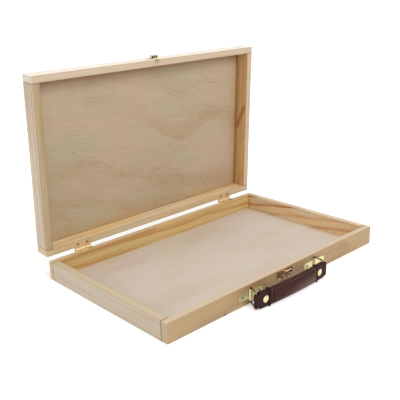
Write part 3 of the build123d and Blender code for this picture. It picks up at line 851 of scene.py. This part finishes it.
# each metal's colour, tarnish and roughness, and what sets it apart
metals = {
    "brass": ((242, 230, 176), (214, 196, 134), 0.27, {"metallic": 0.6}),
    "hinge_brass": ((228, 206, 168), (206, 180, 138), 0.42, {"film_and_shade_strength": 0.7}),
    "catch_brass": ((244, 214, 170), (190, 150, 104), 0.18, {"metallic": 0.9}),
    # the lever's brass is a paler copy of the catch's: its colour is partly painted highlight
    "lever_brass_lit": (
        (254, 238, 204), (216, 182, 134), 0.16, {"film_and_shade_strength": 0.55, "metallic": 0.8}
    ),
    "dark_nail": ((96, 70, 40), (70, 48, 26), 0.35, {}),
    "striker_brass": (
        (250, 240, 214), (226, 206, 160), 0.27, {"film_and_shade_strength": 0.6, "metallic": 0.5}
    ),
    # the hood's strong film is painted shade inside it
    "hood_brass": (
        (232, 222, 196), (196, 176, 130), 0.3,
        {"film_and_shade": (40, 26, 12), "film_and_shade_strength": 1.0, "metallic": 0.6},
    ),
    # a near-black metal that stands for the shade inside the hood
    "painted_shade_black": ((58, 44, 28), (44, 32, 20), 0.6, {"metallic": 0.2}),
    "screw_brass": ((172, 148, 108), (140, 114, 76), 0.35, {"film_and_shade_strength": 0.6}),
    # the ring wire's dark colour is painted dark reflection
    "ring_wire": ((150, 130, 86), (112, 90, 54), 0.22, {}),
    # the snap caps' strong film paints shade into the corner where each cap meets the leather
    "snap_brass": (
        (232, 218, 172), (206, 176, 120), 0.2, {"film_and_shade": (44, 30, 16), "film_and_shade_strength": 1.0}
    ),
    "spring_steel": ((150, 150, 152), (110, 106, 102), 0.3, {}),
    "nail_brass": ((150, 126, 78), (104, 80, 46), 0.3, {}),
}


def metal(name, colour, tarnish, roughness, film_and_shade=brown_film_and_shade, film_and_shade_strength=0.9, metallic=1.0):
    """A metal with duller clouds, faint scratches, and a dark film in its corners that is partly
    painted shade.
    """
    made, shader = new_material(name, Metallic=metallic)
    spot = object_place(made.node_tree)
    dull = ramp(noise_node(spot, dull_stretch, detail=4.0, roughness=0.6)["Fac"], *dull_range)
    scratch = noise_node(spot, scratch_stretch)["Fac"]
    shade = blend_colour(dull * tarnish_strength, linear(*colour), linear(*tarnish))
    reach = {"Distance": corner_reach}
    openness = add(made.node_tree, "ShaderNodeAmbientOcclusion", reach, samples=corner_samples)
    # the film in the corners is partly old lacquer and partly painted shade and dark reflection
    film_and_shade_mask = ramp(openness["AO"], *corner_range) * film_and_shade_strength
    shade = blend_colour(film_and_shade_mask, shade, linear(*film_and_shade))
    feed(shader, shade, dull * dull_roughness + roughness, scratch * scratch_height, scratch_bump)
    return made


finishes = {
    name: metal(name, colour, tarnish, roughness, **rest)
    for name, (colour, tarnish, roughness, rest) in metals.items()
}
print(f"{len(finishes)} metals")

# %% [markdown]
# Pieces that age alike share a metal. Nails and screws are darker than the pressed sheet, and the
# ring wire's dark colour is painted dark reflection. The catch's spring and pin are grey steel.

# %% Put the metals on their pieces
metal_pieces = {
    "brass": ["handle_left_bracket", "handle_right_bracket"],
    "hinge_brass": [
        f"hinge_{side}_{part}" for side in ("left", "right")
        for part in ("tray_leaf", "lid_leaf", "pin")
    ],
    "catch_brass": ["catch_plate"],
    "lever_brass_lit": ["catch_lever"],
    "dark_nail": ["catch_nails"],
    "striker_brass": ["catch_striker"],
    "screw_brass": ["hinge_tray_screws", "hinge_lid_screws"],
    "ring_wire": ["handle_left_ring", "handle_right_ring"],
    "snap_brass": ["handle_snap_caps", "handle_snap_backs"],
    "spring_steel": ["catch_pin", "catch_spring"],
    "nail_brass": ["striker_nails", "bracket_nails"],
}

for name, pieces in metal_pieces.items():
    for piece in pieces:
        dress(piece, finishes[name])
print(f"metal on {sum(len(pieces) for pieces in metal_pieces.values())} nodes")

# %% [markdown]
# ## Leather
#
# The handle is dark wine-red leather with a fine pebble grain. The pebbles are the cells of a
# Voronoi pattern, whose edges are the creases between them. Handling polishes the tops, so they
# are smoother than the creases, and the creases are a darker colour. Slow noise makes some places a
# little redder than others. Low in the middle of the grip the colour is paler with a painted sheen,
# and the leather is smoother there too.

# %% Build the leather group
leather_inputs = {
    "Vector": ["Place", "Worn Middle"], "Float": ["Pebble Size", "Worn Strength"],
    "Color": ["Top", "Crease", "Worn"],
}
wander_stretch = (0.6, 0.6, 0.6)
pebble_range = (0.02, 0.22)
hide_cloud_stretch = (0.09, 0.09, 0.12)
tops_base = 0.45
tops_clouds = 0.7
sheen_squeeze = (0.28, 0, 1)
sheen_reach = (20.0, 1.0)
crease_roughness = 0.56
pebble_polish = 0.14
sheen_polish = 0.12
cloud_roughness = 0.12
hide_finish = {"Specular_IOR_Level": 0.14, "Coat_Weight": 0.04, "Coat_Roughness": 0.25}

leather_group, given, result = new_group("pebbled_leather", leather_inputs, surface_outputs)
spot = given["Place"] / given["Pebble Size"]
spot += noise_node(spot, wander_stretch)["Color"]
lookup = {"Vector": spot, "Scale": 1.0}
cells = add(leather_group, "ShaderNodeTexVoronoi", lookup, feature="DISTANCE_TO_EDGE")
pebble = ramp(cells["Distance"], *pebble_range)
cloud = noise_node(given["Place"], hide_cloud_stretch, detail=4.0, roughness=0.6)["Fac"]
tops = clamped(pebble * (cloud * tops_clouds + tops_base))
# a painted sheen: a paler patch low in the middle of the grip, where it catches light
off_sheen = length((given["Place"] - given["Worn Middle"]) * sheen_squeeze)
painted_light = ramp(off_sheen, *sheen_reach) * given["Worn Strength"]
colour = blend_colour(tops, given["Crease"], given["Top"])
rough = cloud * cloud_roughness - pebble * pebble_polish - painted_light * sheen_polish + crease_roughness
send(result, Color=blend_colour(painted_light, colour, given["Worn"]), Roughness=rough, Height=pebble)


def leather(name, depth, **hide):
    """A leather with a bump of some depth; hide holds the leather group's inputs."""
    made, shader = new_material(name, **hide_finish)
    skin = place_group(leather_group, Place=object_place(made.node_tree), **hide)
    feed(shader, skin["Color"], skin["Roughness"], skin["Height"], depth)
    return made


# the grip's Sheen colour is a painted sheen
grip_leather = leather(
    "grip_leather", 0.05, Top=(78, 34, 29), Crease=(46, 15, 14), Pebble_Size=0.75,
    Worn=(148, 116, 108), Worn_Middle=(27, 0, -1), Worn_Strength=0.6,
)
strap_leather = leather(
    "strap_leather", 0.05, Top=(68, 26, 24), Crease=(38, 12, 12), Pebble_Size=0.75
)
band_leather = leather(
    "band_leather", 0.04, Top=(38, 24, 24), Crease=(20, 12, 13), Pebble_Size=0.6
)
thread, _ = new_material("thread", Base_Color=linear(150, 104, 98), Roughness=0.7)
print("leather and thread")

# %% [markdown]
# ## The striker's hood
#
# The lid's half of the catch is a flat brass plate with a small hood pressed up from it, open
# towards the lever. Two thin fingers divide its mouth into three slots. Its walls are plain boxes
# laid out on the lid's front. The slots look nearly black by painted shade: inside the hood every
# place is a corner, where the metal's brown film is strongest, and a dark box of painted shade
# stands inside the hood, behind its slots.

# %% Model the hood
hood_half = 5.6
hood_height = 5.2
hood_mouth = 5.0
hood_back = 8.6
hood_wall = 0.6
finger_middle = 1.85
finger_half = 0.42
shade_box_depth = 1.2
plate_face = 0.9
hood_edge = 0.12
bevel_steps = 2

hinge_pin = Vector(joints["lid_hinge"]["pos_m"]) / MM
up_the_lid = Vector((0, -cos(lid_turn), sin(lid_turn)))
into_the_lid = Vector((0, sin(lid_turn), cos(lid_turn)))
front_face = max(
    (vertex.co / MM - hinge_pin).dot(up_the_lid) for vertex in nodes["lid_front_board"].data.vertices
)
hood_walls = [
    ((-hood_half, hood_half), (hood_height - hood_wall, hood_height), (hood_mouth, hood_back)),
    ((-hood_half, hood_half), (plate_face, hood_height), (hood_back - hood_wall, hood_back)),
]
for side in (-1, 1):
    for middle, half, back_end in (
        (hood_half - hood_wall / 2, hood_wall / 2, hood_back),
        (finger_middle, finger_half, hood_mouth + hood_wall),
    ):
        across = (side * middle - half, side * middle + half)
        hood_walls.append((across, (plate_face, hood_height), (hood_mouth, back_end)))


def walls_on_the_lid(name, walls, material):
    """Boxes on the lid's front, each a span across, a span out and a span in from the rim."""
    turned = Matrix((Vector((1, 0, 0)), into_the_lid, up_the_lid)).transposed().to_4x4()
    boxes = bmesh.new()
    for across, out, depth in walls:
        size = Vector((across[1] - across[0], depth[1] - depth[0], out[1] - out[0])) * MM
        middle = hinge_pin + Vector((sum(across) / 2, 0, 0)) + into_the_lid * (sum(depth) / 2)
        middle += up_the_lid * (front_face + sum(out) / 2)
        place = Matrix.Translation(middle * MM) @ turned @ Matrix.Diagonal((*size, 1))
        bmesh.ops.create_cube(boxes, size=1.0, matrix=place)
    mesh = bpy.data.meshes.new(name)
    boxes.to_mesh(mesh)
    boxes.free()
    mesh.materials.append(material)
    made = place_object(name, mesh)
    bevel = made.modifiers.new("bevel", "BEVEL")
    bevel.width = hood_edge * MM
    bevel.segments = bevel_steps
    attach(made, "lid")


walls_on_the_lid("striker_hood", hood_walls, finishes["hood_brass"])
# a dark box of painted shade inside the hood, behind its slots
shade_box = ((hood_wall - hood_half, hood_half - hood_wall), (plate_face, hood_height - hood_wall),
          (hood_mouth + shade_box_depth, hood_back - hood_wall))
walls_on_the_lid("striker_hood_painted_shade", [shade_box], finishes["painted_shade_black"])
print(f"hood: {len(hood_walls)} walls, {hood_height} mm high")

# %% [markdown]
# ## The line that the handle follows
#
# The handle is a leather strap between two upright wire bars, bowed a little away from the box so
# that fingers fit behind it. Every piece of it is laid out along one shallow arc. The two bars
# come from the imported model, so the leather meets the metal wherever the handle hangs.

# %% Find the handle's arc
wire_radius = 1.0
handle_bow = 3.0
left_bar = Vector(joints["handle_turn"]["pos_m"]) / MM
right_ring_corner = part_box("handle_right_ring")[0] / MM
right_bar = Vector((right_ring_corner.x + wire_radius, right_ring_corner.y + wire_radius, left_bar.z))
upright = Vector((0, 0, 1))
along = (right_bar - left_bar).normalized()
inwards = upright.cross(along)
handle_middle = (left_bar + right_bar) / 2
half_span = (right_bar - left_bar).length / 2
bow_radius = (half_span**2 + handle_bow**2) / (2 * handle_bow)


def outwards(x):
    """The way out of the handle's front at x, square to its arc."""
    return along * (x / bow_radius) - inwards * sqrt(1 - (x / bow_radius) ** 2)


def on_handle(x, out=0.0, rise=0.0):
    """A point in millimetres: x along the handle, out from its arc, rise above its middle."""
    sag = bow_radius - handle_bow - sqrt(bow_radius**2 - x**2)
    return handle_middle + along * x + inwards * sag + outwards(x) * out + upright * rise


def step(value, low, high):
    """A soft step from 0 at low to 1 at high."""
    share = min(max((value - low) / (high - low), 0.0), 1.0)
    return share * share * (3 - 2 * share)


def limited(value):
    """The value, kept between -1 and 1."""
    return max(-1, min(1, value))


def lofted_loop(name, rings, material):
    """A closed skin through a closed round of rings, each a list of points in millimetres."""
    count = len(rings[0])
    points = [point * MM for ring in rings for point in ring]
    faces = []
    for i in range(len(rings)):
        following = (i + 1) % len(rings)
        for j in range(count):
            k = (j + 1) % count
            faces.append((i * count + j, i * count + k, following * count + k, following * count + j))
    mesh = bpy.data.meshes.new(name)
    mesh.from_pydata(points, [], faces)
    skin = bmesh.new()
    skin.from_mesh(mesh)
    bmesh.ops.recalc_face_normals(skin, faces=skin.faces)
    skin.to_mesh(mesh)
    skin.free()
    mesh.shade_smooth()
    mesh.materials.append(material)
    return place_object(name, mesh)


print(f"handle {2 * half_span:.1f} mm between its bars, bowed {handle_bow} mm")

# %% [markdown]
# ## The strap
#
# One strip of leather runs round both bars, so the strap is two layers with a seam between them
# along its edges. A box with a bevel would lose that seam. Here a small cross-section is carried
# round the whole loop, front, fold, back and fold, and its height changes where the strip narrows
# to pass inside the wire rings.

# %% Draw the strap's section
strap_rise = 10.5
tab_rise = 8.6
core_rise = 8.0
core_hidden = 0.5
shoulder_from_bar = 2.8
strap_corner = 1.6
grip_end = half_span - 20.0
edge_round = 0.55
edge_start = 0.9
inner_inset = 0.25
puff_flatness = 4
steps_across = 18


def strap_rise_at(x):
    """Half the strip's height at x along the handle."""
    if abs(x) < grip_end - core_hidden:
        return core_rise
    from_shoulder = half_span - abs(x) - shoulder_from_bar
    into_corner = min(max(from_shoulder / strap_corner, 0.0), 1.0)
    if into_corner == 0.0:
        return tab_rise
    return strap_rise - strap_corner + strap_corner * sqrt(1 - (1 - into_corner) ** 2)


def strip_ring(outer, inner, rise, puff):
    """The strip's rounded cross-section between a point on its outer and one on its inner face."""
    through = (outer - inner).normalized()
    ring = []
    for i in range(steps_across + 1):
        share = 2 * i / steps_across - 1
        swell = puff * (1 - share**puff_flatness)
        inset = edge_round * max(0.0, (abs(share) - edge_start) / (1 - edge_start)) ** 2
        ring.append(outer + through * (swell - inset) + upright * (rise * share))
    for i in range(steps_across + 1):
        share = 1 - 2 * i / steps_across
        ring.append(inner + upright * ((rise - inner_inset) * share))
    return ring


print(f"section: {2 * (steps_across + 1)} points round, {2 * strap_rise} mm high")

# %% [markdown]
# Close to a bar the two layers part, and the strip turns round the bar in a half circle. Between
# the bar and the grip it is puffed a little, and less so at the snap that holds the layers
# together.

# %% Lay the strap round both bars
strap_half = 2.5
seam_half = 0.12
fold_wall = 1.8
fold_bores = {-1: 1.1, 1: 1.7}
outer_fold_reach = 6.0
inner_fold_reach = 5.0
fold_steps = 18
band_length = 2.4
snap_x = half_span - 12.6
snap_reach = 6.0
snap_pull = 0.5
strap_puff = 0.3
puff_from_bar = (2.0, 8.0)
puff_from_grip = 6.0
layer_pace = 1.0
# more rings where the strap's corner turns, at these distances from its shoulder
shoulder_stations = (0.0, 0.02, 0.12, 0.35, 0.8)


def strap_layer(side, start, stop):
    """Rings along the front (side 1) or back (side -1) layer."""
    count = round(abs(stop - start) / layer_pace)
    stations = {start + (stop - start) * i / count for i in range(count + 1)}
    for end in (-1, 1):
        stations |= {end * (half_span - shoulder_from_bar - extra) for extra in shoulder_stations}
    rings = []
    for x in sorted(stations, reverse=stop < start):
        from_bar = half_span - abs(x)
        bore = fold_bores[1 if x > 0 else -1]
        outer_share = 1 - step(from_bar, 0, outer_fold_reach)
        inner_share = 1 - step(from_bar, 0, inner_fold_reach)
        outer = strap_half + (bore + fold_wall - strap_half) * outer_share
        inner = seam_half + (bore - seam_half) * inner_share
        from_snap = (abs(x) - snap_x) / snap_reach
        swollen = step(from_bar, *puff_from_bar)
        swollen *= step(abs(x), grip_end + band_length, grip_end + puff_from_grip)
        puff = strap_puff * swollen * (1 - snap_pull * exp(-from_snap**2))
        rings.append(strip_ring(
            on_handle(x, side * outer), on_handle(x, side * inner), strap_rise_at(x), puff
        ))
    return rings


def strap_fold(end):
    """Rings round one bar, from the front to the back at the right end and back at the left."""
    bar = on_handle(end * half_span)
    bore = fold_bores[end]
    rings = []
    for i in range(1, fold_steps):
        swing = pi * i / fold_steps
        way = outwards(end * half_span) * cos(swing) * end + along * sin(swing) * end
        rings.append(strip_ring(bar + way * (bore + fold_wall), bar + way * bore, tab_rise, 0.0))
    return rings


strap_rings = (
    strap_layer(1, -half_span, half_span) + strap_fold(1)
    + strap_layer(-1, half_span, -half_span) + strap_fold(-1)
)
strap = lofted_loop("strap_leather_strip", strap_rings, strap_leather)
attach(strap, "handle")
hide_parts("handle_strap")
print(f"strap: {len(strap.data.polygons)} faces")

# %% [markdown]
# ## The padded grip
#
# A second piece of leather is wrapped round the middle of the strap over a soft filler and sewn
# flat all the way round, so the middle swells and the sewn margin stays thin. A cushion would be
# simulated as cloth, but leather this small and stiff barely moves. Its section is drawn instead:
# a crowned middle, a groove where the thread pulls it in, and a rolled lip outside.

# %% Shape the grip's face
grip_rise = 10.8
crown_half = 4.5
crown_fall = 0.07
lip_half = 3.1
seam_inset = 2.3
# the crown swells from just outside the seam to its full height further in
crown_start = 0.3
crown_end_run = 3.2
crown_side_run = 2.6
groove_depth = 0.3
groove_width = 0.55
seam_rise = grip_rise - seam_inset
wrinkle_height = 0.10
# radians a millimetre
wrinkle_along = 0.31
wrinkle_slant = (0.13, 0.2)


def grip_half(x, rise):
    """Half the grip's thickness at a place on its face."""
    from_end = grip_end - abs(x)
    middle = step(from_end, seam_inset - crown_start, seam_inset + crown_end_run)
    middle *= 1 - step(abs(rise), seam_rise - crown_side_run, seam_rise + crown_start)
    crown = crown_half * (1 - crown_fall * (rise / seam_rise) ** 2)
    off_seam = min(abs(abs(rise) - seam_rise), abs(from_end - seam_inset))
    groove = groove_depth * exp(-((off_seam / groove_width) ** 2))
    slant = sin(x * wrinkle_slant[0] + rise * wrinkle_slant[1])
    wrinkle = wrinkle_height * middle * sin(x * wrinkle_along) * slant
    return lip_half + (crown - lip_half) * middle - groove + wrinkle


print(f"grip: {2 * grip_half(0, 0):.1f} mm thick, {2 * lip_half} mm at its margin")

# %% [markdown]
# The outline is carried along the arc, with more rings at both ends, where the margin is rolled
# over. A flat hole for the strap runs through the middle, so the skin turns in on itself there
# and comes back inside.

# %% Carry the grip along the handle
lip_round = 1.7
bore_half = 2.53
bore_rise = 8.03
# how far each wave is cut off to square the bore
bore_squareness = (6, 1.02)
end_roll = 0.8
least_roll = 0.9
face_steps = 40
lip_steps = 12
steps_along = 140
end_stations = (0, 0.08, 0.25, 0.5, 0.8)
inner_start = 1.1


def grip_ring(x):
    """The outline of the grip at x: up its front, over the lip and down its back."""
    into_end = 1 - min((grip_end - abs(x)) / end_roll, 1.0)
    rolled = least_roll + (1 - least_roll) * sqrt(1 - into_end**2)
    lowered = (1 + rolled) / 2
    flat_rise = grip_rise - lip_round
    rises = [(-1 + 2 * i / face_steps) * flat_rise for i in range(face_steps + 1)]
    ring = []
    for side in (1, -1):
        for rise in (rises if side == 1 else reversed(rises)):
            ring.append(on_handle(x, side * grip_half(x, rise) * rolled, rise * lowered))
        for i in range(1, lip_steps):
            swing = pi * i / lip_steps
            out = grip_half(x, flat_rise) * cos(swing)
            rise = flat_rise + lip_round * sin(swing)
            ring.append(on_handle(x, side * out * rolled, side * rise * lowered))
    return ring


def bore_ring(x, count):
    """The flat hole through the grip, with as many points as its outline."""
    ring = []
    for i in range(count):
        swing = 2 * pi * (i + 0.5) / count - pi / 2
        out = bore_half * limited(cos(swing) * bore_squareness[0])
        ring.append(on_handle(x, out, bore_rise * limited(sin(swing) * bore_squareness[1])))
    return ring


first_stations = [-grip_end + inset for inset in end_stations]
inner_reach = grip_end - inner_start
grip_stations = first_stations + [
    -inner_reach + 2 * inner_reach * i / steps_along for i in range(steps_along + 1)
]
grip_stations += [-x for x in reversed(first_stations)]
outline = [grip_ring(x) for x in grip_stations]
hole = [bore_ring(x, len(outline[0])) for x in (grip_end, 0.0, -grip_end)]
grip = lofted_loop("padded_grip", outline + hole, grip_leather)
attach(grip, "handle")
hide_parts("handle_grip")
print(f"grip: {len(grip.data.polygons)} faces")

# %% [markdown]
# ## Stitches
#
# The thread shows as a row of short dashes, pressed into the groove round both faces of the grip.
# So many copies placed by hand would be slow to change. Geometry Nodes take the sewn line as a
# path, divide it into even steps and lay one rounded stitch along each.

# %% Build the stitch tree
bead_segments = 10
bead_rings = 7
stitch_tree = bpy.data.node_groups.new("stitch_row", "GeometryNodeTree")
stitch_inputs = {
    "Path": ("Geometry", None), "Pitch": ("Float", 0.0025), "Length": ("Float", 0.0017),
    "Thread Radius": ("Float", 0.0003), "Thread": ("Material", None),
}
for label, (kind, value) in stitch_inputs.items():
    socket = stitch_tree.interface.new_socket(label, in_out="INPUT", socket_type=f"NodeSocket{kind}")
    if value is not None:
        socket.default_value = value
stitch_tree.interface.new_socket("Stitches", in_out="OUTPUT", socket_type="NodeSocketGeometry")
given = wires(stitch_tree.nodes.new("NodeGroupInput"))
path = add(stitch_tree, "GeometryNodeMeshToCurve", {"Mesh": given["Path"]})["Curve"]
sewn = {"Curve": path, "Length": given["Pitch"]}
points = add(stitch_tree, "GeometryNodeResampleCurve", sewn, mode="LENGTH")["Curve"]
half_stitch = given["Length"] * 0.5
shape = add(stitch_tree, "ShaderNodeCombineXYZ", {
    "X": half_stitch, "Y": given["Thread Radius"], "Z": given["Thread Radius"],
})["Vector"]
bead = add(stitch_tree, "GeometryNodeMeshUVSphere", {
    "Segments": bead_segments, "Rings": bead_rings, "Radius": 1.0,
})["Mesh"]
stitch = add(stitch_tree, "GeometryNodeTransform", {"Geometry": bead, "Scale": shape})["Geometry"]
tangent = {"Vector": add(stitch_tree, "GeometryNodeInputTangent")["Tangent"]}
turn = add(stitch_tree, "FunctionNodeAlignRotationToVector", tangent, axis="X")["Rotation"]
row = add(stitch_tree, "GeometryNodeInstanceOnPoints", {
    "Points": points, "Instance": stitch, "Rotation": turn,
})["Instances"]
row = add(stitch_tree, "GeometryNodeRealizeInstances", {"Geometry": row})["Geometry"]
row = add(stitch_tree, "GeometryNodeSetShadeSmooth", {"Geometry": row})["Geometry"]
row = add(stitch_tree, "GeometryNodeSetMaterial", {"Geometry": row, "Material": given["Thread"]})
plug(stitch_tree.nodes.new("NodeGroupOutput").inputs[0], row["Geometry"])
print(f"stitch tree: {len(stitch_tree.nodes)} nodes")

# %% [markdown]
# The tree is run on a carrier, an object whose edges are the sewn line. What comes out is kept as
# a plain mesh and the carrier is removed, so the finished thread has no modifier left on it.


# %% Sew the grip
def run_tree(name, tree, paths, values):
    """Runs a Geometry Nodes tree on paths given in millimetres, and keeps the result as a mesh."""
    carrier_mesh = bpy.data.meshes.new(f"{name}_path")
    points = [point * MM for path in paths for point in path]
    edges, start = [], 0
    for path in paths:
        edges += [(start + i, start + i + 1) for i in range(len(path) - 1)]
        start += len(path)
    carrier_mesh.from_pydata(points, edges, [])
    carrier = place_object(f"{name}_path", carrier_mesh)
    modifier = carrier.modifiers.new("tree", "NODES")
    modifier.node_group = tree
    items = tree.interface.items_tree
    sockets = {item.name: item.identifier for item in items if item.in_out == "INPUT"}
    for label, value in values.items():
        modifier[sockets[label]] = value
    evaluated = carrier.evaluated_get(bpy.context.evaluated_depsgraph_get())
    mesh = bpy.data.meshes.new_from_object(evaluated)
    mesh.name = name
    bpy.data.objects.remove(carrier)
    return place_object(name, mesh)


stitch_sink = 0.05
seam_x = grip_end - seam_inset
side_steps = 60
end_steps = 12
end_row_inset = 1.6


def sewn_rows(side):
    """The sewn rectangle on one face of the grip, as four runs."""
    def at(x, rise):
        return on_handle(x, side * (grip_half(x, rise) - stitch_sink), rise)
    end_reach = seam_rise - end_row_inset
    rows = []
    for end in (-1, 1):
        rows.append([
            at(seam_x * (2 * i / side_steps - 1), end * seam_rise) for i in range(side_steps + 1)
        ])
        rows.append([
            at(end * seam_x, end_reach * (2 * i / end_steps - 1)) for i in range(end_steps + 1)
        ])
    return rows


stitches = run_tree("grip_stitches", stitch_tree, sewn_rows(1) + sewn_rows(-1), {
    "Pitch": 2.3 * MM, "Length": 1.75 * MM, "Thread Radius": 0.28 * MM, "Thread": thread,
})
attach(stitches, "handle")
faces_each = bead_segments * bead_rings
print(f"stitches: {len(stitches.data.polygons) // faces_each} in eight rows")

# %% [markdown]
# ## The keepers
#
# A narrow black loop of leather holds each end of the grip down on the strap. Its section is a
# small rounded bar, carried once round the strap.

# %% Model the keepers
keeper_half_wall = 0.42
keeper_steps = 64
section_steps = 12
keeper_slack = 0.2
keeper_end_gap = 0.05
# how far each wave is cut off to square the loop
keeper_squareness = (4.2, 1.03)
# a high power keeps the wall upright until the loop's corner
corner_power = 9


def keeper_ring(x, swing):
    """A rounded section of the keeper, in the direction swing round the strap."""
    out = (strap_half + keeper_half_wall) * limited(cos(swing) * keeper_squareness[0])
    rise = strap_rise + keeper_half_wall + keeper_slack
    rise *= limited(sin(swing) * keeper_squareness[1])
    centre = on_handle(x, out, rise)
    away = outwards(x) * (out / strap_half) + upright * (rise / strap_rise) ** corner_power
    away.normalize()
    ring = []
    for i in range(section_steps):
        roll = 2 * pi * i / section_steps
        way = 1 if cos(roll) > 0 else -1
        across = along * (band_length / 2 - keeper_end_gap) * sqrt(abs(cos(roll))) * way
        ring.append(centre + across + away * (keeper_half_wall * sin(roll)))
    return ring


for side_name, end in (("left", -1), ("right", 1)):
    x = end * (grip_end + band_length / 2)
    rings = [keeper_ring(x, 2 * pi * i / keeper_steps) for i in range(keeper_steps)]
    keeper = lofted_loop(f"keeper_{side_name}", rings, band_leather)
    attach(keeper, "handle")
    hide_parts(f"handle_{side_name}_band")
print("two keepers")
